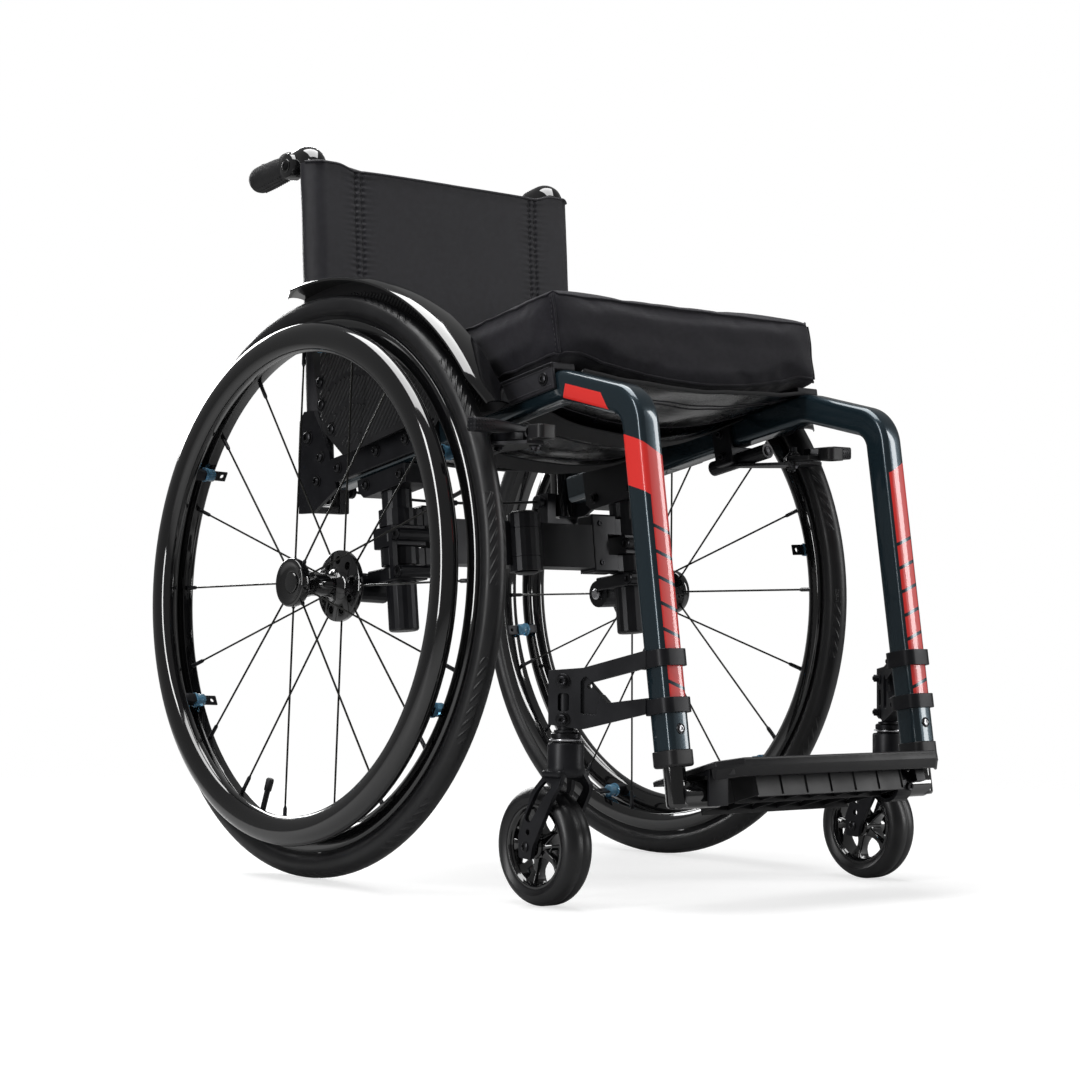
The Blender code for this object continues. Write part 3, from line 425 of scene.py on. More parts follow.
def skin(bm, rings, slot=0, caps=True, ring_closed=True, loop=False):
    """Faces through rings of points. Returns the rings of vertices."""
    loops = [[bm.verts.new(point) for point in ring] for ring in rings]
    pairs = list(zip(loops, loops[1:]))
    if loop:
        pairs.append((loops[-1], loops[0]))
    for near, far in pairs:
        count = len(near)
        for i in range(count if ring_closed else count - 1):
            j = (i + 1) % count
            face = bm.faces.new((near[i], near[j], far[j], far[i]))
            face.material_index = slot
    if caps and not loop and ring_closed:
        for ring in (loops[0][::-1], loops[-1]):
            bm.faces.new(ring).material_index = slot
    return loops


def lathe(bm, profile, place=Matrix(), steps=32, slot=0, closed=False):
    """Solid of revolution about local Z from (radius, height) or (radius, height, 'hex')."""
    rings = []
    for point in profile:
        radius, height = point[0], point[1]
        if radius < 1e-7:
            rings.append([bm.verts.new(place @ Vector((0, 0, height)))])
            continue
        ring = []
        for i in range(steps):
            angle = 2 * math.pi * i / steps
            reach = radius
            if len(point) == 3:
                within = (angle + 1e-9) % (math.pi / 3) - math.pi / 6
                reach = radius * math.cos(math.pi / 6) / math.cos(within)
            ring.append(bm.verts.new(place @ Vector((reach * math.cos(angle), reach * math.sin(angle),
                                                     height))))
        rings.append(ring)
    pairs = list(zip(rings, rings[1:]))
    if closed:
        pairs.append((rings[-1], rings[0]))
    for low, high in pairs:
        for i in range(steps):
            j = (i + 1) % steps
            if len(low) == 1 and len(high) == 1:
                continue
            if len(low) == 1:
                corners = (low[0], high[j], high[i])
            elif len(high) == 1:
                corners = (low[i], low[j], high[0])
            else:
                corners = (low[i], low[j], high[j], high[i])
            bm.faces.new(corners).material_index = slot


def rod(bm, start, end, radius, steps=20, slot=0, end_radius=None, ease=0.0004):
    """Round bar with slightly eased ends."""
    start, end = Vector(start), Vector(end)
    length = (end - start).length
    far = radius if end_radius is None else end_radius
    profile = [(0, 0), (radius - ease, 0), (radius, ease), (far, length - ease), (far - ease, length),
               (0, length)]
    lathe(bm, profile, at(start, end - start), steps, slot)


def tube(bm, points, radius, steps=12, slot=0):
    """Round bar along a line of points."""
    points = [Vector(p) for p in points]
    normal = None
    rings = []
    for i, point in enumerate(points):
        tangent = (points[min(i + 1, len(points) - 1)] - points[max(i - 1, 0)]).normalized()
        if normal is None:
            normal = tangent.orthogonal().normalized()
        normal = (normal - tangent * normal.dot(tangent)).normalized()
        side = tangent.cross(normal)
        rings.append([point + (normal * math.cos(t) + side * math.sin(t)) * radius
                      for t in (2 * math.pi * k / steps for k in range(steps))])
    skin(bm, rings, slot)


def absorb(bm, other, place=Matrix(), slot=None):
    """Adds another bmesh to this one, and frees it."""
    other.transform(place)
    if slot is not None:
        for face in other.faces:
            face.material_index = slot
    mesh = bpy.data.meshes.new("scrap")
    other.to_mesh(mesh)
    other.free()
    bm.from_mesh(mesh)
    bpy.data.meshes.remove(mesh)


def box(bm, low, high, place=Matrix(), bevel=0.0008, slot=0, segments=2):
    """Block between two corners with rounded edges."""
    low, high = Vector(low), Vector(high)
    size = high - low
    block = fresh()
    scale = Matrix.Diagonal((abs(size.x), abs(size.y), abs(size.z), 1))
    bmesh.ops.create_cube(block, size=1, matrix=Matrix.Translation((low + high) / 2) @ scale)
    if bevel:
        bmesh.ops.bevel(block, geom=block.edges[:], offset=bevel, segments=segments, affect="EDGES",
                        profile=0.6)
    absorb(bm, block, place, slot)


def slab(bm, outline, low, high, place=Matrix(), slot=0, bevel=0.0):
    """Flat outline of (Y, Z) points, extruded along X."""
    block = fresh()
    face = block.faces.new([block.verts.new((low, y, z)) for y, z in outline])
    grown = bmesh.ops.extrude_face_region(block, geom=[face])["geom"]
    verts = [item for item in grown if isinstance(item, bmesh.types.BMVert)]
    bmesh.ops.translate(block, verts=verts, vec=(high - low, 0, 0))
    bmesh.ops.recalc_face_normals(block, faces=block.faces)
    if bevel:
        rims = [e for e in block.edges if e.is_manifold and e.calc_face_angle(0) > math.radians(50)]
        bmesh.ops.bevel(block, geom=rims, offset=bevel, segments=2, affect="EDGES", profile=0.6,
                        clamp_overlap=True)
    absorb(bm, block, place, slot)


def bolt(bm, point, direction, radius=0.0045, height=0.0042, washer=0.0, slot=0, kind="socket",
         washer_slot=None):
    """Screw head that stands on its seat: socket, button or hex."""
    place = at(point, direction)
    base = 0.0
    if washer:
        base = 0.0012
        lathe(bm, [(radius * 0.8, 0), (washer, 0), (washer, 0.0009), (washer - 0.0003, base),
                   (radius * 0.8, base)],
              place, 24, slot if washer_slot is None else washer_slot)
    ease = 0.0005
    if kind == "hex":
        profile = [(0, base), (radius, base, "hex"), (radius, base + height - ease, "hex"),
                   (radius * 0.88, base + height), (radius * 0.5, base + height),
                   (radius * 0.5, base + height + 0.001),
                   (radius * 0.42, base + height + 0.0014), (0, base + height + 0.0014)]
    else:
        top = base + height
        shoulder = radius if kind == "socket" else radius * 0.72
        low_side = top - ease if kind == "socket" else base + height * 0.45
        profile = [(0, base), (radius, base), (radius, low_side), (shoulder - ease, top),
                   (radius * 0.58, top), (radius * 0.52, top - 0.0003, "hex"),
                   (radius * 0.52, top - height * 0.6, "hex"), (0, top - height * 0.6)]
    lathe(bm, profile, place, 24, slot)


def cut(bm, cutters, operation="DIFFERENCE"):
    """The bmesh after an exact Boolean with each cutter bmesh, which is freed."""
    def as_object(source):
        bmesh.ops.recalc_face_normals(source, faces=source.faces)
        mesh = bpy.data.meshes.new("scrap")
        source.to_mesh(mesh)
        source.free()
        made = bpy.data.objects.new("scrap", mesh)
        bpy.context.scene.collection.objects.link(made)
        return made

    base = as_object(bm)
    for cutter in cutters:
        other = as_object(cutter)
        modifier = base.modifiers.new("cut", "BOOLEAN")
        modifier.operation, modifier.solver, modifier.object = operation, "EXACT", other
        evaluated = base.evaluated_get(bpy.context.evaluated_depsgraph_get())
        mesh = bpy.data.meshes.new_from_object(evaluated)
        base.modifiers.clear()
        base.data = mesh
        bpy.data.objects.remove(other)
    result = fresh()
    result.from_mesh(base.data)
    bpy.data.objects.remove(base)
    return result


def piece(bm, name, body, looks, replaces=(), angle=38, bevel=0.0, weld=2e-6):
    """Turns a bmesh in the chair's frame into a piece that rides on a body."""
    bmesh.ops.remove_doubles(bm, verts=bm.verts, dist=weld)
    bmesh.ops.recalc_face_normals(bm, faces=bm.faces)
    mesh = bpy.data.meshes.new(name)
    bm.to_mesh(mesh)
    bm.free()
    mesh.transform(CHAIR)
    for look in looks:
        mesh.materials.append(LOOK[look])
    mesh.shade_smooth()
    mesh.set_sharp_from_angle(angle=math.radians(angle))
    made = bpy.data.objects.new(name, mesh)
    bpy.context.scene.collection.objects.link(made)
    if bevel:
        modifier = made.modifiers.new("edges", "BEVEL")
        modifier.width, modifier.segments, modifier.limit_method = bevel, 2, "ANGLE"
        modifier.angle_limit = math.radians(40)
    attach(made, body)
    if replaces:
        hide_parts(*replaces)
    return made


def mark(mesh, name, values):
    """Stores one number per vertex for the materials."""
    layer = mesh.attributes.new(name, "FLOAT", "POINT")
    layer.data.foreach_set("value", np.array(values, np.float32))


# ---- drive wheels ------------------------------------------------------------------------
def wheel_place(side):
    """Local Z is the outward axle and local Y is up."""
    outward = Vector((side * math.cos(CAMBER), 0, math.sin(CAMBER)))
    upward = Vector((-side * math.sin(CAMBER), 0, math.cos(CAMBER)))
    forward = upward.cross(outward)
    turn = Matrix((forward, upward, outward)).transposed().to_4x4()
    return Matrix.Translation((side * HALF_TRACK, 0, WHEEL_Z)) @ turn


def build_tyre(name, place):
    profile = []
    for degrees in range(-145, 146, 10):
        t = math.radians(degrees)
        proud = 0.0003 if abs(degrees) in (65, 105) else 0.0
        profile.append((WHEEL_RING + (TYRE_SECTION - 0.0003 + proud) * math.cos(t),
                        (TYRE_SECTION - 0.0003 + proud) * math.sin(t)))
    seat = RIM_OUTER + 0.0003
    profile += [(seat, 0.0062), (seat, -0.0062)]
    bm = fresh()
    lathe(bm, profile, place, 144, 0, closed=True)
    made = piece(bm, f"{name}_drive_tyre", f"{name}_wheel", ["tyre"], [f"{name}_tyre"], 60)
    back = (CHAIR @ place).inverted()
    around, across = [], []
    for vert in made.data.vertices:
        local = back @ vert.co
        around.append(math.atan2(local.y, local.x) * WHEEL_RING)
        reach = math.hypot(local.x, local.y) - WHEEL_RING
        across.append(math.atan2(local.z, reach) * TYRE_SECTION)
    mark(made.data, "around", around)
    mark(made.data, "across", across)


def build_rim(name, place):
    bm = fresh()
    half = 0.0100
    outline = [(RIM_OUTER, -0.0085), (RIM_OUTER, 0.0085), (RIM_OUTER - 0.003, half), (0.2560, half),
               (RIM_INNER, 0.0052), (RIM_INNER, -0.0052), (0.2560, -half), (RIM_OUTER - 0.003, -half)]
    lathe(bm, rounded(outline, 0.0010, 2), place, 144, 0, closed=True)
    # valve between two spokes, seen on the rim's inner face
    turn = place @ Matrix.Rotation(math.radians(250), 4, "Z") @ Matrix.Rotation(math.radians(-90), 4, "Y")
    stem = turn @ Matrix.Translation((0, 0, -RIM_INNER))
    for look, profile in ((1, [(0.0045, 0.0005), (0.0045, -0.0020), (0.0032, -0.0025), (0, -0.0025)]),
                          (2, [(0, 0.001), (0.0030, 0.001), (0.0030, -0.024), (0.0040, -0.025),
                               (0.0042, -0.036),
                               (0.0036, -0.0375), (0, -0.0375)])):
        lathe(bm, [(r, -h) for r, h in profile], stem, 16, look)
    piece(bm, f"{name}_wheel_rim", f"{name}_wheel", ["gloss", "steel", "plastic"],
          [f"{name}_rim"], 50)


def build_handrim(name, side, place):
    bm = fresh()
    ring = [(HANDRIM_RING + HANDRIM_RADIAL * math.cos(t), HANDRIM_OFFSET + HANDRIM_AXIAL * math.sin(t))
            for t in (2 * math.pi * k / 24 for k in range(24))]
    lathe(bm, ring, place, 144, 0, closed=True)
    first = 30 if side < 0 else 50
    for i in range(6):
        turn = place @ Matrix.Rotation(math.radians(first + 60 * i), 4, "Z")
        # lug on the hand rim, clear spacer, and the black tab with its eye
        box(bm, (0.2370, -0.0050, 0.0100), (0.2480, 0.0050, 0.0240), turn, 0.0010, 1)
        rod(bm, turn @ Vector((0.2432, 0, -0.0012)), turn @ Vector((0.2432, 0, 0.0108)), 0.0068, 28, 2,
            ease=0.0008)
        lathe(bm, [(0.0068, 0), (0.0078, 0.0003), (0.0078, 0.0022), (0.0068, 0.0025)],
              turn @ Matrix.Translation((0.2432, 0, 0.0086)), 28, 2, closed=True)
        tab = fresh()
        box(tab, (0.2420, -0.0056, -0.0175), (0.2440, 0.0056, -0.0008), Matrix(), 0.0009)
        eye = fresh()
        rod(eye, (0.2300, 0, -0.0118), (0.2600, 0, -0.0118), 0.0024, 16)
        tab = cut(tab, [eye])
        absorb(bm, tab, turn, 1)
    piece(bm, f"{name}_hand_rim", f"{name}_wheel", ["gloss", "anodised", "blue", "steel"],
          [f"{name}_handrim"], 45)


def build_hub(name, place):
    """Hub shell, end cap, and the eighteen spokes with their nipples."""
    flange = fresh()
    bore = 0.0068
    lathe(flange, [(bore, -0.0340), (0.0285, -0.0340), (0.0300, -0.0335), (0.0350, -0.0312),
                   (0.0365, -0.0290),
                   (0.0365, -0.0245), (0.0350, -0.0235), (0.0200, -0.0222), (0.0145, -0.0190),
                   (0.0122, -0.0140),
                   (bore, -0.0140)], Matrix(), 64, 0, closed=True)
    holes = []
    for i in range(9):
        hole = fresh()
        turn = Matrix.Rotation(math.radians(10 + 40 * i), 4, "Z")
        lathe(hole, [(0, -0.05), (0.0042, -0.05), (0.0042, -0.01), (0, -0.01)],
              turn @ Matrix.Translation((0.0262, 0, 0)), 20)
        holes.append(hole)
    bm = cut(flange, holes)
    lathe(bm, [(0.0122, -0.0150), (0.0116, -0.0050), (0.0118, 0.0080), (0.0150, 0.0190), (0.0205, 0.0238),
               (0.0235, 0.0262), (0.0245, 0.0290), (0.0245, 0.0345), (0.0240, 0.0358), (0.0226, 0.0366),
               (0.0205, 0.0364), (0.0185, 0.0350), (0.0150, 0.0338), (0.0122, 0.0335), (0.0110, 0.0330),
               (0.0110, 0.0265),
               (bore, 0.0265), (bore, -0.0150)], Matrix(), 64, 0, closed=True)
    for i in range(SPOKES):
        turn = Matrix.Rotation(2 * math.pi * i / SPOKES, 4, "Z")
        start_r, start_z = (0.0335, -0.0262) if i % 2 == 0 else (0.0200, 0.0270)
        start = turn @ Vector((start_r, 0, start_z))
        end = turn @ Vector((RIM_INNER - 0.0002, 0, 0))
        heading = (end - start).normalized()
        rod(bm, start, end, 0.00105, 8, 1, ease=0.0001)
        tip = end - heading * 0.0005
        lathe(bm, [(0, 0), (0.0013, 0), (0.0021, 0.0025), (0.0021, 0.0150), (0.0024, 0.0155),
                   (0.0024, 0.0195),
                   (0, 0.0195)], at(tip - heading * 0.0200, heading), 10, 2)
        if i % 2:
            lathe(bm, [(0, 0), (0.0023, 0), (0.0023, 0.004), (0.0015, 0.006), (0, 0.006)],
                  at(start, heading), 10, 2)
    bm.transform(place)
    piece(bm, f"{name}_hub_and_spokes", f"{name}_wheel", ["gloss", "spoke", "anodised"],
          [f"{name}_hub_spokes"], 40)


def build_axle_cap(name, place):
    bm = fresh()
    lathe(bm, [(0, 0.0310), (0.0104, 0.0310), (0.0104, 0.0336), (0.0098, 0.0343), (0.0060, 0.0345),
               (0, 0.0346)],
          place, 48, 0)
    piece(bm, f"{name}_axle_cap", f"{name}_button", ["gloss"], [f"{name}_axle_button"], 30)


# ---- side frames -------------------------------------------------------------------------
def build_side_tube(name, side):
    """Rail, bend and leg as one bent tube whose places along and across are marked."""
    path = filleted([RAIL_REAR, KINK, BEND, LEG_END], (0.050, 0.030), 14)
    dense = [path[0]]
    for point in path[1:]:
        gap = (point - dense[-1]).length
        parts = max(1, int(gap / 0.012))
        dense += [dense[-1].lerp(point, (k + 1) / parts) for k in range(parts)]
    total = len(dense) - 1
    bm = fresh()
    rings, marks = [], []
    for i, point in enumerate(dense):
        tangent = (dense[min(i + 1, total)] - dense[max(i - 1, 0)]).normalized()
        normal = Vector((tangent.y, -tangent.x))
        depth = RAIL_DEPTH + (LEG_DEPTH - RAIL_DEPTH) * (i / total)
        ring = []
        for a, b in rounded_rectangle(TUBE_WIDTH, depth, 0.0060, 5):
            place = Vector((side * (FRAME_X + a), point.x + normal.x * b, point.y + normal.y * b))
            ring.append(place)
            marks.append((a, b))
        rings.append(ring)
    loops = skin(bm, rings)
    order = {}
    flat = [vert for loop in loops for vert in loop]
    bm.verts.index_update()
    for vert, pair in zip(flat, marks):
        order[tuple(round(c, 7) for c in CHAIR @ vert.co)] = pair
    made = piece(bm, f"{name}_painted_tube", f"{name}_frame", ["lacquer"],
                 [f"{name}_side_frame"], 60,
                 weld=1e-7)
    outward, forward, up_leg, run = [], [], [], []
    lean = (CHAIR @ LEG).inverted()
    start = Vector(KINK)
    heading = (Vector(BEND) - start).normalized()
    to_chair = CHAIR.inverted()
    for vert in made.data.vertices:
        key = tuple(round(c, 7) for c in vert.co)
        pair = order.get(key) or min(order.items(), key=lambda item: (Vector(item[0]) - vert.co).length)[1]
        outward.append(pair[0])
        forward.append(pair[1])
        up_leg.append((lean @ vert.co).z)
        local = to_chair @ vert.co
        run.append((Vector((local.y, local.z)) - start).dot(heading))
    for label, values in (("outward", outward), ("forward", forward), ("up_leg", up_leg),
                          ("along_bend", run)):
        mark(made.data, label, values)


def leg_section(side, width, depth, low, high, radius, steps=4):
    section = rounded_rectangle(width, depth, radius, steps)
    return [[LEG @ Vector((side * FRAME_X + a, b, h)) for a, b in section] for h in (low, high)]


def leg_point(side, height, a=0.0, b=0.0):
    return LEG @ Vector((side * (FRAME_X + a), b, height))


def build_leg_fittings(name, side):
    """Plastic end cap, the inner tube with its stub, and the clamp screw in the leg's front."""
    bm = fresh()
    rings = leg_section(side, 0.0290, 0.0298, -0.0135, -0.0003, 0.0068)
    low = leg_section(side, 0.0262, 0.0272, -0.0150, -0.0135, 0.0058)[0]
    skin(bm, [low, *rings])
    piece(bm, f"{name}_tube_cap", f"{name}_frame", ["plastic"], [f"{name}_leg_cap"], 40,
          0.0006)
    bm = fresh()
    foot = LEG @ Vector((side * FRAME_X, 0, -0.0505))
    top = LEG @ Vector((side * FRAME_X, 0, -0.0003))
    lathe(bm, [(0, 0), (0.0085, 0), (0.0099, 0.0016), (0.0101, 0.003), (0.0101, (top - foot).length),
               (0, (top - foot).length)],
          at(foot, top - foot), 40, 0)
    rod(bm, (side * FRAME_X, *STUB_POINT), (side * STUB_END_X, *STUB_POINT), STUB_RADIUS, 40, 0,
        ease=0.0010)
    piece(bm, f"{name}_inner_leg", f"{name}_frame", ["gloss"], [f"{name}_leg_extension"],
          40)
    bm = fresh()
    seat = leg_point(side, 0.0180, 0, -LEG_DEPTH / 2)
    outward = turned(LEG, 0, -1, 0)
    lathe(bm, [(0, 0.0002), (0.0034, 0.0002), (0.0040, 0.0006), (0.0046, 0.0007), (0.0050, 0.0001),
               (0.0050, -0.002),
               (0, -0.002)], at(seat, outward), 28, 0)
    lathe(bm, [(0, 0.0000), (0.0030, 0.0000), (0.0030, 0.0009), (0.0024, 0.0012), (0.0019, 0.0012),
               (0.0017, 0.0009, "hex"),
               (0.0017, 0.0003, "hex"), (0, 0.0003)], at(seat, outward), 24, 1)
    piece(bm, f"{name}_leg_screw", f"{name}_frame", ["screw", "steel"])


LEG_BANDS = ((0.0325, 0.0460), (0.0740, 0.0890))


# ---- casters -----------------------------------------------------------------------------
def caster_frame(side):
    """Where the bracket's arms start, their length, and the matrix of their own frame."""
    leg = LEG @ Vector((side * FRAME_X, 0, 0.060))
    stem = Vector((side * CASTER_X, CASTER_STEM_Y, 0))
    across = Vector((stem.x - leg.x, stem.y - leg.y, 0))
    turn = Matrix.Rotation(math.atan2(across.y, across.x), 4, "Z")
    return across.length, Matrix.Translation((leg.x, leg.y, 0)) @ turn, stem


def build_caster_bracket(name, side):
    reach, place, stem = caster_frame(side)
    near, far, half = 0.016, reach + 0.014, 0.0095
    turn = place @ Matrix.Rotation(math.radians(-90), 4, "Z")
    outline = [(near, 0.2155), (near, 0.2310), (reach - 0.018, 0.2150), (far, 0.2125), (far, 0.1640),
               (reach - 0.016, 0.1600), (near, 0.1745), (near, 0.1885), (reach - 0.040, 0.1838),
               (reach - 0.024, 0.2018)]
    arms = fresh()
    slab(arms, outline, -half, half, turn, 0)
    cutters = []
    # pocket beside the stem housing, slot window between its bolts, and a drilled hole
    for face in (half - 0.0035, -half + 0.0035):
        pocket = fresh()
        sign = 1 if face > 0 else -1
        slab(pocket, rounded([(reach - 0.0345, 0.1950), (reach - 0.0200, 0.2080), (reach - 0.0160, 0.2030),
                              (reach - 0.0160, 0.1740), (reach - 0.0300, 0.1730)], 0.002, 3),
             face, face + sign * 0.01, turn)
        cutters.append(pocket)
    window = fresh()
    slab(window, rounded([(reach - 0.0050, 0.1760), (reach + 0.0050, 0.1760), (reach + 0.0050, 0.1920),
                          (reach - 0.0050, 0.1920)], 0.0024, 3), -0.03, -0.0035, turn)
    cutters.append(window)
    hole = fresh()
    rod(hole, turn @ Vector((-0.02, reach - 0.0235, 0.1985)), turn @ Vector((0.02, reach - 0.0235, 0.1985)),
        0.0022, 16)
    cutters.append(hole)
    bore = fresh()
    rod(bore, stem + Vector((0, 0, 0.10)), stem + Vector((0, 0, 0.2080)), 0.0080, 24)
    cutters.append(bore)
    bm = cut(arms, cutters)
    for low, high in LEG_BANDS:
        band = fresh()
        skin(band, leg_section(side, 0.0334, 0.0344, low, high, 0.0088, 5))
        inner = fresh()
        skin(inner, leg_section(side, TUBE_WIDTH + 0.0006, 0.0290, low - 0.01, high + 0.01, 0.0062, 5))
        absorb(bm, cut(band, [inner]))
    piece(bm, f"{name}_caster_arm", f"{name}_frame", ["anodised"],
          [f"{name}_caster_bracket"], 35,
          0.0007)
    bm = fresh()
    away = turned(turn, side * -1, 0, 0)
    for height in (0.2030, 0.1688):
        for sign in (1, -1):
            seat = turn @ Vector((sign * half, reach + 0.0005, height))
            outward = turned(turn, sign, 0, 0)
            bolt(bm, seat, outward, 0.0042, 0.0045, 0.0066, 0, "socket" if outward.dot(away) < 0 else "hex")
    # clamp screws through the bands, behind the leg
    for low, high in LEG_BANDS:
        middle = (low + high) / 2
        for sign in (1, -1):
            seat = leg_point(side, middle, sign * 0.0085, 0.0172)
            bolt(bm, seat, turned(LEG, 0, 1, 0), 0.0028, 0.0024, 0, 0)
    piece(bm, f"{name}_caster_screws", f"{name}_frame", ["screw"])


def build_fork(name, side):
    top = Vector((side * CASTER_X, CASTER_STEM_Y, 0))
    axle_y, axle_z = CASTER_AXLE
    bm = fresh()
    lathe(bm, [(0, 0.1180), (0.0150, 0.1180), (0.0172, 0.1215), (0.0170, 0.1262), (0.0165, 0.1285),
               (0.0165, 0.1462),
               (0.0158, 0.1475), (0.0120, 0.1482), (0.0120, 0.1492), (0.0108, 0.1496), (0.0108, 0.1590),
               (0.0074, 0.1595),
               (0.0074, 0.2060), (0, 0.2060)], Matrix.Translation(top), 40, 0)
    body = f"{name}_fork"
    for sign in (1, -1):
        inner, outer = 0.0184, 0.0230
        leg = fresh()
        outline = [(top.y - 0.0135, 0.1290), (top.y + 0.0135, 0.1290), (top.y + 0.0150, 0.1150),
                   (axle_y + 0.0098, axle_z + 0.010),
                   (axle_y + 0.0090, axle_z - 0.0100), (axle_y - 0.0075, axle_z - 0.0110),
                   (axle_y - 0.0098, axle_z),
                   (top.y - 0.0150, 0.1100)]
        slab(leg, rounded(outline, 0.0028, 3), min(sign * inner, sign * outer),
             max(sign * inner, sign * outer),
             Matrix.Translation((top.x, 0, 0)))
        slot = fresh()
        slab(slot, rounded([(top.y - 0.0068, 0.1105), (top.y + 0.0080, 0.1140),
                            (axle_y + 0.0022, axle_z + 0.0240),
                            (axle_y - 0.0060, axle_z + 0.0220)], 0.0030, 3), -0.04, 0.04,
                            Matrix.Translation((top.x, 0, 0)))
        hole = fresh()
        rod(hole, (top.x - 0.05, -0.3450, axle_z + 0.0135), (top.x + 0.05, -0.3450, axle_z + 0.0135),
            0.0028, 16)
        leg = cut(leg, [slot, hole])
        for height in (0.1010, 0.1050, 0.1090, 0.1130, 0.1170, 0.1210, 0.1250):
            bmesh.ops.bisect_plane(leg, geom=leg.verts[:] + leg.edges[:] + leg.faces[:],
                                   plane_co=(0, 0, height),
                                   plane_no=(0, 0, 1), dist=1e-6)
        for vert in leg.verts:
            share = min(max((vert.co.z - 0.1010) / 0.0270, 0.0), 1.0)
            ease = share * share * (3 - 2 * share)
            vert.co.x -= sign * 0.0105 * ease
            vert.co.y = top.y + (vert.co.y - top.y) * (1 - 0.15 * ease)
        absorb(bm, leg)
    # web that joins the legs under the head
    box(bm, (top.x - 0.0185, top.y - 0.0125, 0.1170), (top.x + 0.0185, top.y + 0.0125, 0.1235), Matrix(),
        0.003, 0, 3)
    piece(bm, f"{name}_fork_casting", body, ["anodised"], [f"{name}_caster_fork"], 35,
          0.0006)
    bm = fresh()
    for sign in (1, -1):
        bolt(bm, (top.x + sign * 0.0230, axle_y, axle_z), (sign, 0, 0), 0.0045, 0.0022, 0.0, 0, "button")
    lathe(bm, [(0.0112, 0.1497), (0.0148, 0.1497), (0.0152, 0.1504), (0.0148, 0.1512), (0.0112, 0.1512)],
          Matrix.Translation(top), 32, 1, closed=True)
    lathe(bm, [(0.0080, 0.1512), (0.0128, 0.1512), (0.0136, 0.1522), (0.0136, 0.1560), (0.0120, 0.1572),
               (0.0080, 0.1572)],
          Matrix.Translation(top), 32, 0, closed=True)
    rod(bm, (top.x - 0.0225, axle_y, axle_z), (top.x + 0.0225, axle_y, axle_z), 0.0039, 20, 1)
    piece(bm, f"{name}_fork_hardware", body, ["screw", "steel"], [f"{name}_caster_axle"])


def build_caster_wheel(name, side):
    centre = Vector((side * CASTER_X, *CASTER_AXLE))
    place = Matrix.Translation(centre) @ Matrix.Rotation(math.radians(90), 4, "Y")
    body = f"{name}_caster"
    inner, outer = 0.0335, 0.0385
    bm = fresh()
    lathe(bm, rounded([(outer, -0.0130), (outer, 0.0130), (inner + 0.0025, 0.0130),
                       (inner + 0.0012, 0.0105),
                       (inner, 0.0090), (inner, -0.0090), (inner + 0.0012, -0.0105),
                       (inner + 0.0025, -0.0130)], 0.0006, 2),
          place, 72, 0, closed=True)
    lathe(bm, rounded([(0.0043, -0.0150), (0.0095, -0.0150), (0.0112, -0.0130), (0.0105, -0.0060),
                       (0.0098, 0.0),
                       (0.0105, 0.0060), (0.0112, 0.0130), (0.0095, 0.0150), (0.0043, 0.0150)], 0.0005, 2),
          place, 40, 0, closed=True)
    for i in range(5):
        turn = place @ Matrix.Rotation(2 * math.pi * i / 5 + math.radians(18), 4, "Z")
        rings = []
        for k in range(7):
            share = k / 6
            radius = 0.0095 + (inner + 0.0008 - 0.0095) * share
            wide = 0.0050 - 0.0022 * math.sin(math.pi * share) + 0.0012 * share ** 4
            thick = 0.0085 - 0.0030 * math.sin(math.pi * share)
            rings.append([turn @ Vector((radius, a, b)) for a,
                          b in rounded_rectangle(2 * wide, 2 * thick, 0.0012, 3)])
        skin(bm, rings)
    piece(bm, f"{name}_caster_hub", body, ["gloss"], [f"{name}_caster_wheel"], 40)
    bm = fresh()
    bead = outer + 0.0003
    centre_r = CASTER_RADIUS - 0.0110
    tread = arc((centre_r, -0.0050), 0.0110, -84, -6, 9) + [(CASTER_RADIUS, -0.0012),
                                                            (CASTER_RADIUS - 0.0003, -0.0004),
                                                          (CASTER_RADIUS - 0.0003, 0.0004),
                                                          (CASTER_RADIUS, 0.0012)]
    tread += arc((centre_r, 0.0050), 0.0110, 6, 84, 9)
    lathe(bm, [(bead, -0.0128), (bead + 0.0020, -0.0134), *tread, (bead + 0.0020, 0.0134), (bead, 0.0128)],
          place, 96, 0,
          closed=True)
    piece(bm, f"{name}_caster_tread", body, ["caster_tyre"], [f"{name}_caster_tyre"], 50)


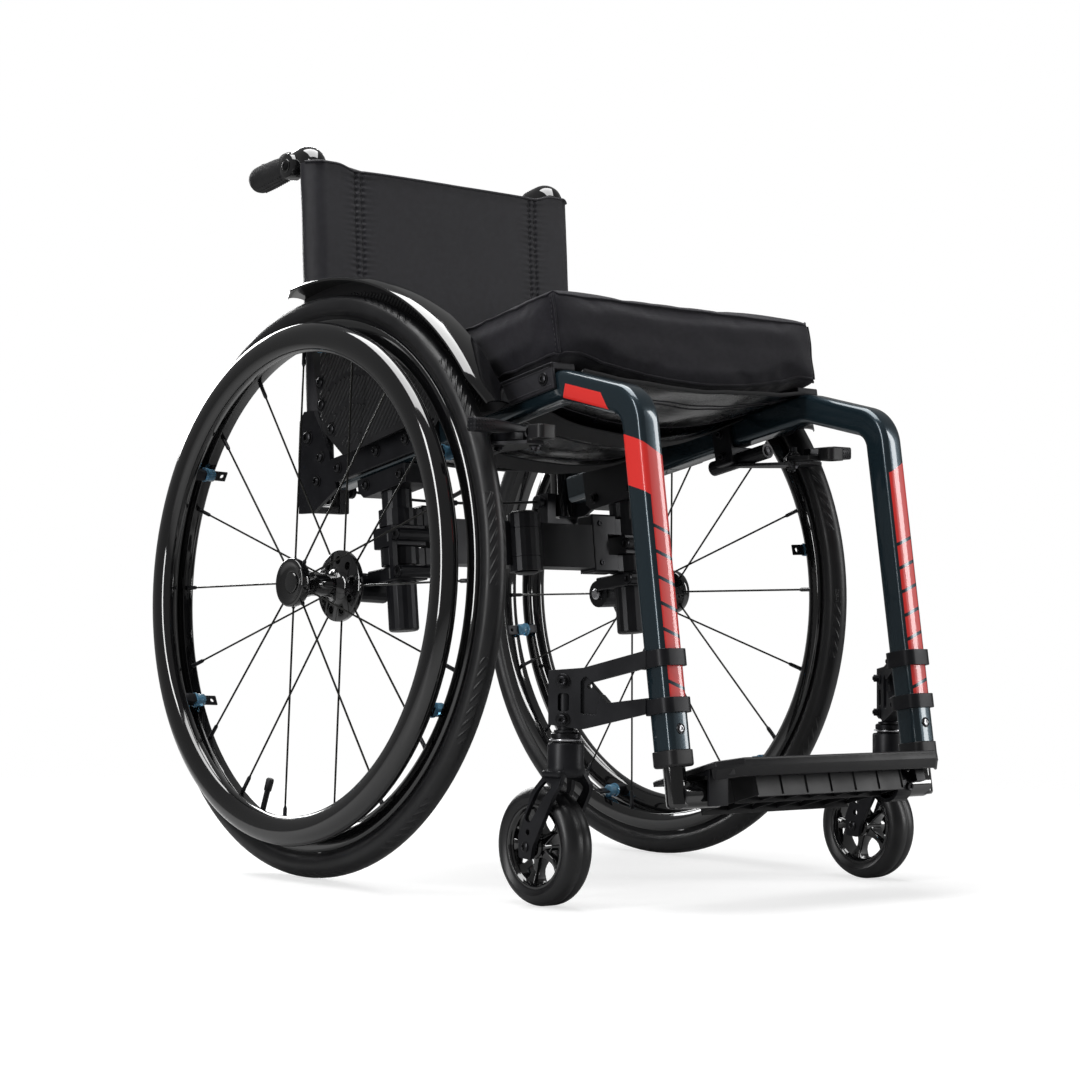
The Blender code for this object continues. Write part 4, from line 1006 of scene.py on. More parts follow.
# ---- brakes ------------------------------------------------------------------------------
def build_brake(name, side):
    low = BRAKE_Z + 0.0033
    x, y = side * BRAKE_PIVOT[0], BRAKE_PIVOT[1]
    bm = fresh()
    lathe(bm, [(0.0037, low), (0.0078, low), (0.0082, low + 0.0004), (0.0082, low + 0.0066),
               (0.0076, low + 0.0070),
               (0.0037, low + 0.0070)], Matrix.Translation((x, y, 0)), 28, 0, closed=True)
    arm = rounded([(side * 0.1935, y - 0.004), (side * 0.1925, y - 0.032), (side * 0.2080, y - 0.034),
                   (side * 0.2045, y - 0.004)], 0.002, 3)
    skin(bm, [[(px, py, low + h) for px, py in arm] for h in (0.0005, 0.0075)])
    # channel that runs out over the tyre and ends in the knurled tip
    base = low + 0.0056
    stations = ((0.1915, 0.0018, 0.0086, 0.0052), (0.2000, 0.0012, 0.0096, 0.0060),
                (0.2200, 0.0002, 0.0120, 0.0064),
                (0.2285, 0.0000, 0.0128, 0.0066), (0.2515, 0.0002, 0.0130, 0.0066),
                (0.2525, 0.0012, 0.0122, 0.0058))
    rings = []
    for px, bottom, top, wide in stations:
        section = rounded_rectangle(2 * wide, top - bottom, 0.0020, 3)
        rings.append([(side * px, y - 0.0280 + u, base + (top + bottom) / 2 + v) for u, v in section])
    skin(bm, rings)
    for row in range(3):
        for k in range(7):
            for face in (-1, 1):
                spot = (side * (0.2505 - 0.0034 * k), y - 0.0280 + face * 0.0065,
                        base + 0.0026 + 0.0038 * row)
                lathe(bm, [(0, 0), (0.0012, 0), (0.0008, 0.0006), (0, 0.0007)], at(spot, (0, face, 0)), 8,
                      0)
        for k in range(3):
            spot = (side * 0.2524, y - 0.0320 + 0.0040 * k, base + 0.0028 + 0.0036 * row)
            lathe(bm, [(0, 0), (0.0011, 0), (0.0007, 0.0005), (0, 0.0006)], at(spot, (side, 0, 0)), 8, 0)
    piece(bm, f"{name}_shoe_arm", f"{name}_shoe", ["anodised"], [f"{name}_brake_shoe"],
          35, 0.0004)

    x, y = side * LEVER_PIVOT[0], LEVER_PIVOT[1]
    bm = fresh()
    lathe(bm, [(0.0037, low), (0.0078, low), (0.0080, low + 0.0004), (0.0080, low + 0.0055),
               (0.0074, low + 0.0060),
               (0.0037, low + 0.0060)], Matrix.Translation((x, y, 0)), 28, 0, closed=True)
    outline = [(x - side * 0.0055, y - 0.002), (x - side * 0.0035, y - 0.026),
               (x + side * 0.0140, y - 0.028),
               (x + side * 0.0065, y - 0.002)]
    skin(bm, [[(px, py, low + h) for px, py in rounded(outline, 0.002, 3)] for h in (0.0002, 0.0050)])
    outer = rounded([(x + side * 0.0090, y - 0.0440), (x + side * 0.0305, y - 0.0440),
                     (x + side * 0.0305, y - 0.0230),
                     (x + side * 0.0090, y - 0.0230)], 0.0055, 6)
    inner = rounded([(x + side * 0.0125, y - 0.0405), (x + side * 0.0270, y - 0.0405),
                     (x + side * 0.0270, y - 0.0265),
                     (x + side * 0.0125, y - 0.0265)], 0.0038, 6)
    rims = [[(px, py, low + height) for px, py in outline]
            for outline, height in ((outer, 0.0002), (outer, 0.0128), (inner, 0.0128), (inner, 0.0002))]
    skin(bm, rims, 0, caps=False, loop=True)
    piece(bm, f"{name}_finger_lever", f"{name}_lever", ["plastic"],
          [f"{name}_brake_lever"], 35, 0.0009)

    bm = fresh()
    for pivot, height in ((BRAKE_PIVOT, 0.0076), (LEVER_PIVOT, 0.0066)):
        spot = (side * pivot[0], pivot[1], low + height)
        bolt(bm, spot, (0, 0, 1), 0.0052, 0.0026, 0.0068, 0, "button")
        bolt(bm, (side * pivot[0], pivot[1], BRAKE_Z), (0, 0, -1), 0.0045, 0.0030, 0.0062, 0, "hex")
    rail_a = (-0.198 - KINK[0]) / math.cos(RAIL_SLOPE)
    for b in (0.0, -0.0240):
        bolt(bm, RAIL @ Vector((side * 0.1440, rail_a, b)), (-side, 0, 0), 0.0036, 0.0030, 0.0050, 0)
    for along_rail in (-0.0505, 0.0325):
        spot = RAIL @ Vector((side * 0.1600, rail_a + along_rail, -0.0290))
        heading = turned(RAIL, 0, math.copysign(1, along_rail), 0)
        bolt(bm, spot, heading, 0.0050, 0.0010, 0, 0, "button")
    piece(bm, f"{name}_brake_screws", f"{name}_frame", ["screw"])


# ---- side guards -------------------------------------------------------------------------
def build_side_guard(name, side):
    """Ribbed clothes guard panel and the glossy fender over the tyre."""
    centre = (0, WHEEL_Z)
    bm = fresh()
    edge = arc(centre, FENDER_RADIUS - 0.0006, 75.5, 147.5, 40)
    panel = edge + [(-0.2480, 0.4560), (-0.1300, 0.4560), (0.0050, 0.4280), (0.0420, 0.4560)]
    slab(bm, panel, min(side * GUARD_X, side * (GUARD_X + 0.0018)),
         max(side * GUARD_X, side * (GUARD_X + 0.0018)))
    # slanting ribs on the outer face, broken by three curved grooves
    slope = math.radians(-52)
    heading, square = Vector((math.cos(slope), math.sin(slope))), Vector((-math.sin(slope),
                                                                          math.cos(slope)))
    origin = Vector((-0.030, 0.500))
    grooves = [(Vector((-0.020 + 0.004 * k, 0.380 + 0.030 * k)), 0.072) for k in range(3)]

    def inside(point):
        if (point - Vector(centre)).length > FENDER_RADIUS - 0.012:
            return False
        floor = 0.4600 if point.x < -0.1300 else 0.4600 - (point.x + 0.1300) * 0.207
        if point.x > 0.005:
            floor = 0.4340 + (point.x - 0.005) * 0.757
        if point.y < floor + 0.003 or point.x > 0.046 or point.x < -0.232:
            return False
        for middle, radius in grooves:
            gap = abs((point - middle).length - radius)
            if gap < 0.0018 and -0.035 < point.x < 0.030:
                return False
        return True

    for k in range(-42, 43):
        line = origin + square * (0.0050 * k)
        run = []
        for i in range(-120, 121):
            point = line + heading * (0.002 * i)
            if inside(point):
                run.append(point)
                continue
            if len(run) > 3:
                add_rib(bm, run, side)
            run = []
        if len(run) > 3:
            add_rib(bm, run, side)
    for y, z in ((0.0560, 0.5065), (0.0530, 0.4830), (0.0350, 0.4560)):
        bolt(bm, (side * (GUARD_X + 0.0018), y - 0.010, z), (side, 0, 0), 0.0048, 0.0022, 0.0078, 2,
             "button", 2)
    piece(bm, f"{name}_guard_panel", f"{name}_frame", ["plastic", "plastic", "screw"], (),
          35)
    bm = fresh()
    rings = []
    start, end = GUARD_X, 0.2315
    for degrees in np.linspace(75.5, 147.5, 60):
        t = math.radians(float(degrees))
        taper = min(1.0, (float(degrees) - 74.0) / 6.0, (150.0 - float(degrees)) / 8.0)
        width = (end - start) * (0.55 + 0.45 * taper)
        outline = []
        for share in np.linspace(0, 1, 9):
            crown = 0.0022 * (1 - (2 * share - 1) ** 2) - (0.0018 if share > 0.93 else 0.0)
            outline.append((start + width * share, FENDER_RADIUS + 0.0004 + crown))
        outline += [(u, r - 0.0020) for u, r in reversed(outline)]
        rings.append([(side * u, r * math.cos(t), WHEEL_Z + r * math.sin(t)) for u, r in outline])
    skin(bm, rings)
    piece(bm, f"{name}_fender", f"{name}_frame", ["gloss"], [f"{name}_side_guard"], 40)


def add_rib(bm, run, side):
    """Low rounded rib along a run of (Y, Z) points."""
    face = side * (GUARD_X + 0.0017)
    rings = []
    square = (run[-1] - run[0]).normalized()
    square = Vector((-square.y, square.x))
    for point in (run[0], run[-1]):
        ring = []
        for offset, height in ((-0.0017, 0), (-0.0011, 0.0010), (0, 0.0014), (0.0011, 0.0010), (0.0017, 0)):
            spot = point + square * offset
            ring.append((face + side * height, spot.x, spot.y))
        rings.append(ring)
    skin(bm, rings, 1)


# ---- backrest hardware -------------------------------------------------------------------
def back_line(z):
    share = (z - BACK_PIVOT[1]) / (BACK_TOP[1] - BACK_PIVOT[1])
    return BACK_PIVOT[0] + (BACK_TOP[0] - BACK_PIVOT[0]) * share


def build_push_handle(name, side):
    y, z = HANDLE_PIVOT
    start = Vector((side * (BACK_X + 0.004), y + 0.0135, z + 0.0035))
    end = Vector((side * (BACK_X + 0.004), y + 0.0790, z - 0.0045))
    place = at(start, end - start)
    bm = fresh()
    lathe(bm, [(0, -0.004), (0.0138, -0.004), (0.0150, -0.0030), (0.0152, 0.0015), (0.0146, 0.0030),
               (0.0128, 0.0036),
               (0.0124, 0.0055), (0.0130, 0.0110), (0.0138, 0.0200), (0.0142, 0.0300), (0.0144, 0.0400),
               (0.0147, 0.0480),
               (0.0147, 0.0540), (0.0142, 0.0590), (0.0128, 0.0630), (0.0102, 0.0658), (0.0060, 0.0670),
               (0, 0.0672)],
          place, 56, 0)
    # rows of pimples under the grip and three shallow ridges on its outer end
    for row in range(5):
        for k in range(11):
            t = math.radians(234 + 18 * row)
            height = 0.0110 + 0.0042 * k + (0.0021 if row % 2 else 0)
            radius = 0.0130 + 0.0016 * min(1, height / 0.04)
            normal = place.to_3x3() @ Vector((math.cos(t), math.sin(t), 0))
            lathe(bm, [(0, -0.0004), (0.0011, -0.0004), (0.0011, 0.0002), (0.0005, 0.0007), (0, 0.0008)],
                  at(place @ Vector((radius * math.cos(t), radius * math.sin(t), height)), normal), 8, 0)
    for k in range(3):
        points = []
        for i in range(9):
            t = math.radians(64 + 6 * k + 26 * i / 8)
            h = 0.0440 + 0.0150 * i / 8
            points.append(place @ Vector((0.0147 * math.cos(t), 0.0147 * math.sin(t), h)))
        tube(bm, points, 0.0006, 6, 0)
    # round knuckle on the outer side, with the neck that carries the grip
    inner = side * (BACK_X + 0.0030)
    lathe(bm, [(0, 0), (0.0128, 0), (0.0140, 0.0012), (0.0142, 0.0080), (0.0140, 0.0130), (0.0128, 0.0152),
               (0.0100, 0.0160),
               (0, 0.0162)], at((inner, y, z), (side, 0, 0)), 44, 1)
    rod(bm, (side * (BACK_X + 0.008), y + 0.002, z + 0.0005), start + (end - start) * 0.02, 0.0112, 32, 1,
        0.0118)
    bolt(bm, (side * (BACK_X + 0.0190), y, z), (side, 0, 0), 0.0052, 0.0014, 0.0075, 2, "button", 1)
    piece(bm, f"{name}_grip", f"{name}_handle", ["grip", "gloss", "screw"],
          [f"{name}_push_handle"], 40)


def build_back_post(name, side):
    """Back tube with its smooth elbow at the top."""
    foot, top, end = (back_line(0.3810), 0.3810), BACK_TOP, (HANDLE_PIVOT[0] + 0.006, BACK_TOP[1] - 0.0052)
    path = filleted([foot, top, end], (0.0150,), 16)
    bm = fresh()
    points = [Vector((side * BACK_X, p.x, p.y)) for p in path]
    head, tail = points[0], points[1]
    points = [head.lerp(tail, k / 24) for k in range(24)] + points[1:]
    rings = []
    for i, point in enumerate(points):
        tangent = (points[min(i + 1, len(points) - 1)] - points[max(i - 1, 0)]).normalized()
        across = Vector((1, 0, 0))
        normal = tangent.cross(across)
        radius = 0.0125 + 0.0022 * max(0.0, min(1.0, (i - 24) / 8))
        rings.append([point + (across * math.cos(t) + normal * math.sin(t)) * radius
                      for t in (2 * math.pi * k / 32 for k in range(32))])
    skin(bm, rings)
    piece(bm, f"{name}_back_tube", f"{name}_back", ["gloss"], [f"{name}_back_post"], 50,
          0.0008)


def build_back_screws(name, side):
    """Screws on the rail-side brackets, the post clamp and the axle bracket."""
    bm = fresh()
    out = (side, 0, 0)
    for y, z in ((0.0322, 0.4172), (-0.0353, 0.4310), (-0.0850, 0.4400), (0.0700, 0.4050),
                 (0.0640, 0.4300)):
        bolt(bm, (side * 0.1835, y, z), out, 0.0046, 0.0030, 0.0062, 0, "button", 1)
    bolt(bm, (side * 0.1835, *BACK_PIVOT), out, 0.0060, 0.0030, 0.0082, 0, "button", 1)
    for a, b in ((0.2560, -0.0260), (0.3150, -0.0240), (0.2650, 0.0), (0.3050, 0.0)):
        spot = RAIL @ Vector((side * 0.1750, a, b))
        bolt(bm, spot, out, 0.0044, 0.0030, 0.0060, 0, "button", 1)
        spot = RAIL @ Vector((side * 0.1365, a, b))
        if b < -0.01:
            bolt(bm, spot, (-side, 0, 0), 0.0044, 0.0030, 0.0060, 0, "hex", 1)
    piece(bm, f"{name}_bracket_screws", f"{name}_frame", ["screw", "screw"])


def fold_frame(side):
    """Frame of the fold axis on that side's axle post."""
    return Matrix.Translation((side * POST_X, *FOLD_POINT)) @ Matrix.Rotation(-FOLD_TILT, 4, "X")


def build_post_trim(name, side):
    """End plug of the axle post and the cut faces and screws of its clamp."""
    turn = fold_frame(side)
    bm = fresh()
    lathe(bm, [(0, -0.0925), (0.0138, -0.0925), (0.0150, -0.0915), (0.0150, -0.0905), (0, -0.0905)], turn,
          40, 0)
    piece(bm, f"{name}_post_plug", f"{name}_frame", ["plastic"])
    bm = fresh()
    for height in (0.0035, -0.0345):
        for sign in (1, -1):
            spot = turn @ Vector((sign * 0.0215, -0.0245, height))
            heading = turned(turn, sign, 0, 0)
            lathe(bm, [(0, 0), (0.0056, 0), (0.0060, 0.0004), (0.0060, 0.0020), (0.0056, 0.0024),
                       (0.0034, 0.0024),
                       (0.0030, 0.0020, "hex"), (0.0030, 0.0006, "hex"), (0, 0.0006)], at(spot, heading),
                       28, 1)
        low = height - 0.0052
        box(bm, (side * 0.0193, -0.0180, low), (side * 0.0188, -0.0055, low + 0.0104), turn, 0.0001, 0)
    piece(bm, f"{name}_clamp_faces", f"{name}_frame", ["cut", "screw"])


# ---- folding link ------------------------------------------------------------------------
def build_link_trim(name, side):
    """Screws and the outlined end block of one half of the folding link."""
    turn = fold_frame(side)
    body = f"{name}_arm"
    bm = fresh()
    for height in (0.0262, -0.0168):
        heading = turned(turn, 0, -1, 0)
        bolt(bm, turn @ Vector((side * -0.0470, -0.0124, height)), heading, 0.0030, 0.0016, 0, 0)
    box(bm, (side * -0.0572, -0.0127, -0.0268), (side * -0.0566, 0.0127, 0.0362), turn, 0.0001, 1)
    piece(bm, f"{name}_link_screws", body, ["screw", "anodised"])


def build_pin_caps():
    turn = fold_frame(0) @ Matrix.Translation((0, -0.0135, 0))
    bm = fresh()
    lathe(bm, [(0, 0), (0.0135, 0), (0.0150, 0.0006), (0.0150, 0.0016), (0.0120, 0.0030), (0.0060, 0.0034),
               (0, 0.0034)],
          turn @ Matrix.Translation((0, 0, 0.0317)), 40, 0)
    lathe(bm, [(0, 0), (0.0120, 0), (0.0130, -0.0012), (0.0100, -0.0026), (0, -0.0028)],
          turn @ Matrix.Translation((0, 0, -0.0297)), 40, 0)
    piece(bm, "link_pin_caps", "left_arm", ["plastic"])


# ---- footplate ---------------------------------------------------------------------------
def build_footplate():
    """Plate with a two-band front lip and a lattice of ribs underneath."""
    front, rear, right, top = -0.041, 0.058, -0.276, 0.0035
    bm = fresh()
    plate = fresh()
    outline = [(right + 0.022, front), (0.000, front), (0.014, front + 0.010), (0.014, front + 0.018),
               (-0.008, front + 0.018), (-0.008, rear), (right, rear), (right, front + 0.014)]
    middle = Vector((-0.131, 0.008))

    def shrunk(amount, z, points):
        ring = []
        for x, y in points:
            away = Vector((x, y)) - middle
            ring.append(Vector((x - math.copysign(amount, away.x), y - math.copysign(amount, away.y), z)))
        return ring

    thin = rounded(outline[:2] + [(0.014, front + 0.010), (0.014, front + 0.0178),
                                  (-0.0082, front + 0.0178),
                                  (-0.0082, rear), (right, rear), (right, front + 0.014)], 0.0015, 3)
    skin(plate, [shrunk(0.0010, top, thin), shrunk(0.0, top - 0.0010, thin), shrunk(0, top - 0.0050, thin)])
    absorb(bm, plate)
    # the thick front lip: an upper band, a crease, and a lower band that slopes back
    lip = [(right + 0.0005, front + 0.0140), (right + 0.0225, front + 0.0004), (-0.0002, front + 0.0004),
           (0.0136, front + 0.0104)]
    rows = [(0.0000, top - 0.0007), (-0.0004, top - 0.0020), (-0.0004, top - 0.0078),
            (0.0004, top - 0.0086),
            (0.0036, top - 0.0158), (0.0060, top - 0.0160), (0.0060, top - 0.0052)]
    rings = [[(x, y + inset, z) for x, y in lip] for inset, z in rows]
    closed_lip = fresh()
    skin(closed_lip, rings, 0, caps=False, ring_closed=False, loop=True)
    ends = [[v for v in closed_lip.verts if abs(v.co.x - lip[k][0]) < 1e-6] for k in (0, 3)]
    for group in ends:
        if len(group) == len(rows):
            closed_lip.faces.new(group)
    absorb(bm, closed_lip)
    depth = -0.0300
    floor, wall = top - 0.0048, 0.0013
    low_y, high_y = 0.0100, rear - 0.002

    def rib(a, b, low=depth + 0.003, high=floor + 0.0005, thick=wall):
        a, b = Vector((*a, 0)), Vector((*b, 0))
        run = b - a
        place = Matrix.Translation(a) @ Matrix.Rotation(math.atan2(run.y, run.x), 4, "Z")
        box(bm, (0, -thick / 2, low), (run.length, thick / 2, high), place, 0.0003, 0, 1)

    for y in (rear - 0.0020, 0.0115, -0.0180):
        rib((-0.2235, y), (-0.0290, y), depth + (0 if y > 0.02 else 0.0015))
    count = 6
    span = (-0.2225, -0.0300)
    for k in range(count + 1):
        x = span[0] + (span[1] - span[0]) * k / count
        rib((x, -0.0200), (x, high_y))
    for k in range(count):
        x0 = span[0] + (span[1] - span[0]) * k / count
        x1 = span[0] + (span[1] - span[0]) * (k + 1) / count
        if k % 2:
            rib((x0, low_y), (x1, high_y), depth + 0.006)
            rib((x0, low_y), (x1, -0.0190), depth + 0.006)
        else:
            rib((x1, low_y), (x0, high_y), depth + 0.006)
            rib((x1, low_y), (x0, -0.0190), depth + 0.006)
    # ribs that run forward into the lip
    for k in range(10):
        x0 = -0.262 + 0.028 * k
        rib((x0, front + 0.0065), (x0 + 0.012 * (1 if k % 2 else -1), -0.0185), floor - 0.009, floor)
    # non-slip dashes on the top
    for row in range(4):
        for k in range(9):
            x = -0.250 + 0.0285 * k + (0.014 if row % 2 else 0)
            y = -0.018 + 0.020 * row
            if x < -0.012:
                box(bm, (x - 0.0075, y - 0.0011, top - 0.0004), (x + 0.0075, y + 0.0011, top + 0.0007),
                    Matrix(), 0.0004, 0, 2)
    rod(bm, (0, -0.0095, 0), (0, 0.0095, 0), 0.0055, 24, 0)
    box(bm, (-0.0125, -0.0088, -0.0010), (-0.0005, 0.0088, top - 0.0004), Matrix(), 0.0006)
    bm.transform(FOOT)
    y, z = STUB_POINT
    # the open clip that drops over the right stub
    outline = [(y - 0.0165, z + 0.0260), (y - 0.0165, z - 0.0100), (y - 0.0132, z - 0.0100),
               (y - 0.0132, z + 0.0165),
               (y + 0.0132, z + 0.0165), (y + 0.0132, z - 0.0100), (y + 0.0165, z - 0.0100),
               (y + 0.0165, z + 0.0195)]
    slab(bm, outline, -0.1380, -0.1150, Matrix(), 1, 0.0006)
    piece(bm, "footplate_tray", "footplate", ["plastic", "anodised"], ["footplate"], 32)
    bm = fresh()
    bolt(bm, (0.1250, y - 0.0168, z - 0.0010), (0, -1, 0), 0.0040, 0.0020, 0, 0)
    for sign in (1, -1):
        spot = FOOT @ Vector((0, sign * 0.0180, 0))
        bolt(bm, spot, turned(FOOT, 0, sign, 0), 0.0044, 0.0018, 0, 0, "button")
    piece(bm, "footplate_screws", "left_frame", ["screw"])


# ---- soft parts --------------------------------------------------------------------------
def simulate(made, pressure, cap, voxel):
    """Puffs a closed mesh up as stuffed cloth, and caps how far each point may move."""
    scene = bpy.context.scene
    bpy.context.view_layer.objects.active = made
    remesh = made.modifiers.new("remesh", "REMESH")
    remesh.mode, remesh.voxel_size = "VOXEL", voxel
    evaluated = made.evaluated_get(bpy.context.evaluated_depsgraph_get())
    mesh = bpy.data.meshes.new_from_object(evaluated)
    made.modifiers.clear()
    made.data = mesh
    start = np.array([v.co for v in mesh.vertices])
    cloth = made.modifiers.new("cloth", "CLOTH")
    cloth.settings.use_pressure = True
    cloth.settings.uniform_pressure_force = pressure
    cloth.settings.effector_weights.gravity = 0
    cloth.settings.quality = 4
    for number in range(1, 21):
        scene.frame_set(number)
    evaluated = made.evaluated_get(bpy.context.evaluated_depsgraph_get())
    mesh = bpy.data.meshes.new_from_object(evaluated)
    made.modifiers.clear()
    scene.frame_set(1)
    end = np.array([v.co for v in mesh.vertices])
    step = end - start
    length = np.linalg.norm(step, axis=1, keepdims=True)
    end = start + step * np.minimum(1.0, cap / np.maximum(length, 1e-9))
    mesh.vertices.foreach_set("co", end.astype(np.float32).ravel())
    mesh.update()
    made.data = mesh
    return made


CUSHION_LOW, CUSHION_HIGH = Vector((-0.1770, -0.0070, 0.0245)), Vector((0.1770, 0.3560, 0.0965))


def cushion_point(u, v, w):
    """Point of the cushion's shape for u, v, w from -1 to 1 across, back and up."""
    half = (CUSHION_HIGH - CUSHION_LOW) / 2
    centre = (CUSHION_HIGH + CUSHION_LOW) / 2
    waist_u = 1 - 0.006 * (1 - w * w) * (1 - v ** 8) - 0.012 * (v ** 10)
    waist_v = 1 - 0.004 * (1 - w * w) * (1 - u ** 8) - 0.010 * (u ** 10)
    crown = (1 - u ** 4) * (1 - v ** 4)
    belly = max(0.0, 1 - (u / 0.84) ** 2)
    lift = 0.0025 * crown if w > 0 else 0.0
    lift -= 0.0190 * belly * max(0.0, 0.5 - 0.5 * w) ** 1.3
    droop = -0.0022 * (abs(u) ** 14 + abs(v) ** 14) if w > 0 else 0.0
    return Vector((centre.x + half.x * u * waist_u, centre.y + half.y * v * waist_v,
                   centre.z + (half.z - 0.0012) * w + lift + droop))


def build_cushion():
    bm = fresh()
    across, deep, tall = 44, 44, 10
    grid = {}

    def corner(i, j, k):
        key = (i, j, k)
        if key not in grid:
            u, v, w = 2 * i / across - 1, 2 * j / deep - 1, 2 * k / tall - 1
            grid[key] = bm.verts.new(cushion_point(u, v, w))
        return grid[key]

    for i in range(across):
        for j in range(deep):
            for k in (0, tall):
                bm.faces.new((corner(i, j, k), corner(i + 1, j, k), corner(i + 1, j + 1, k),
                              corner(i, j + 1, k)))
    for i in range(across):
        for k in range(tall):
            for j in (0, deep):
                bm.faces.new((corner(i, j, k), corner(i + 1, j, k), corner(i + 1, j, k + 1),
                              corner(i, j, k + 1)))
    for j in range(deep):
        for k in range(tall):
            for i in (0, across):
                bm.faces.new((corner(i, j, k), corner(i, j + 1, k), corner(i, j + 1, k + 1),
                              corner(i, j, k + 1)))
    bmesh.ops.recalc_face_normals(bm, faces=bm.faces)
    edges = [e for e in bm.edges if len(e.link_faces) == 2 and e.calc_face_angle(0) > math.radians(40)]
    bmesh.ops.bevel(bm, geom=edges, offset=0.0045, segments=3, affect="EDGES", profile=0.5)
    bm.transform(RAIL)
    made = piece(bm, "seat_cushion", "cushion", ["cushion"], ["cushion"], 70)
    simulate(made, 1.2, 0.0030, 0.0055)
    made.data.materials.clear()
    made.data.materials.append(LOOK["cushion"])
    made.data.shade_smooth()
    back = (CHAIR @ RAIL).inverted()
    forth = CHAIR @ RAIL
    mesh = made.data
    for vert in mesh.vertices:
        p = back @ vert.co
        # creases that run in from the corners and along the boxing
        edge_u = 1 - min(1.0, abs(abs(p.x) - 0.177) / 0.060)
        edge_v = 1 - min(1.0, min(abs(p.y + 0.007), abs(p.y - 0.356)) / 0.060)
        near = max(edge_u, edge_v)
        ripple = noise.noise(Vector((p.x * 26, p.y * 26, p.z * 60))) * 0.0007
        ripple += noise.noise(Vector((p.x * 9 + 3, p.y * 9, p.z * 14))) * 0.0009
        side_wall = abs(p.x) > 0.170 or p.y < 0.000 or p.y > 0.350
        if side_wall:
            long = p.x if (p.y < 0.000 or p.y > 0.350) else p.y
            ripple += 0.00022 * math.sin(long * 95 + 3 * noise.noise(Vector((long * 12, 0, 5))))
        normal = vert.normal
        vert.co = forth @ (p + (back.to_3x3() @ normal) * ripple * (0.5 + 0.5 * near))
    mesh.update()
    modifier = made.modifiers.new("smooth", "SUBSURF")
    modifier.levels = modifier.render_levels = 1
    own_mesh(made)

    # piped seams along the edges, the front corner seams, and the flap over the zip
    bm = fresh()
    surface = BVHTree.FromPolygons([back @ v.co for v in mesh.vertices],
                                   [tuple(p.vertices) for p in mesh.polygons])

    def snap(point, out=0.0):
        """Nearest point of the stuffed cushion, moved out of its surface by that much."""
        found = surface.find_nearest(point)
        return found[0] + found[1] * out

    def ring_line(w):
        points = []
        rise, fall = np.linspace(-1, 1, 40)[:-1].tolist(), np.linspace(1, -1, 40)[:-1].tolist()
        for u, v in ([(t, -1) for t in rise] + [(1, t) for t in rise]
                     + [(t, 1) for t in fall] + [(-1, t) for t in fall]):
            radius = 0.965 if abs(abs(u) - 1) < 0.02 and abs(abs(v) - 1) < 0.02 else 1.0
            points.append(snap(cushion_point(u * radius, v * radius, w)))
        points.append(points[0])
        return points

    for w in (0.90, -0.90):
        tube(bm, ring_line(w), 0.0013, 8, 0)
    for u in (-1, 1):
        for v in (-1, 1):
            points = [snap(cushion_point(u * 0.988, v * 0.988, float(w))) for w in np.linspace(-0.88, 0.88,
                                                                                               14)]
            tube(bm, points, 0.0009, 8, 0)
            for k in range(12):
                w = -0.82 + 1.64 * k / 11
                start, end = (snap(cushion_point(u, v * 0.9736, w + rise), 0.0002) for rise in (0, 0.08))
                tube(bm, [start, end], 0.00035, 6, 1)
    # zip flap on both sides near the rear half of the boxing
    for u in (-1, 1):
        rings = []
        for v in np.linspace(-0.15, 0.96, 30):
            point = snap(cushion_point(u * 1.003, float(v), -0.25))
            wave = 0.0012 * math.sin(float(v) * 23)
            rings.append([point + Vector((u * 0.0002, 0, -0.011 + wave)),
                          point + Vector((u * 0.0016, 0, -0.010 + wave)),
                          point + Vector((u * 0.0019, 0, 0.010)), point + Vector((u * 0.0002, 0, 0.0108))])
        skin(bm, rings, 2)
        tube(bm, [snap(cushion_point(u * 1.009, float(v), 0.02), 0.0006) for v in np.linspace(-0.15, 0.96,
                                                                                              40)], 0.0004,
                                                                                              6, 1)
    bm.transform(RAIL)
    seams = piece(bm, "cushion_seams", "cushion", ["cushion", "thread", "cushion"], (), 60)
    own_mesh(seams)


def sling_height(x, a):
    """Height of the sling above the rail line, across the seat and back along the rail."""
    half = 0.148
    edge = min(1.0, abs(x) / half)
    deep = 0.0085 + 0.0210 * math.sin(math.pi * min(1.0, max(0.0, (a + 0.006) / 0.32))) ** 0.8
    fold = 0.0014 * math.sin(a * 95 + 4 * noise.noise(Vector((x * 8, a * 10, 0)))) * (1 - edge ** 2)
    fold += 0.0020 * noise.noise(Vector((x * 22, a * 14, 2)))
    return 0.0138 - deep * (1 - edge ** 2) + fold * min(1.0, (1 - edge) * 4)


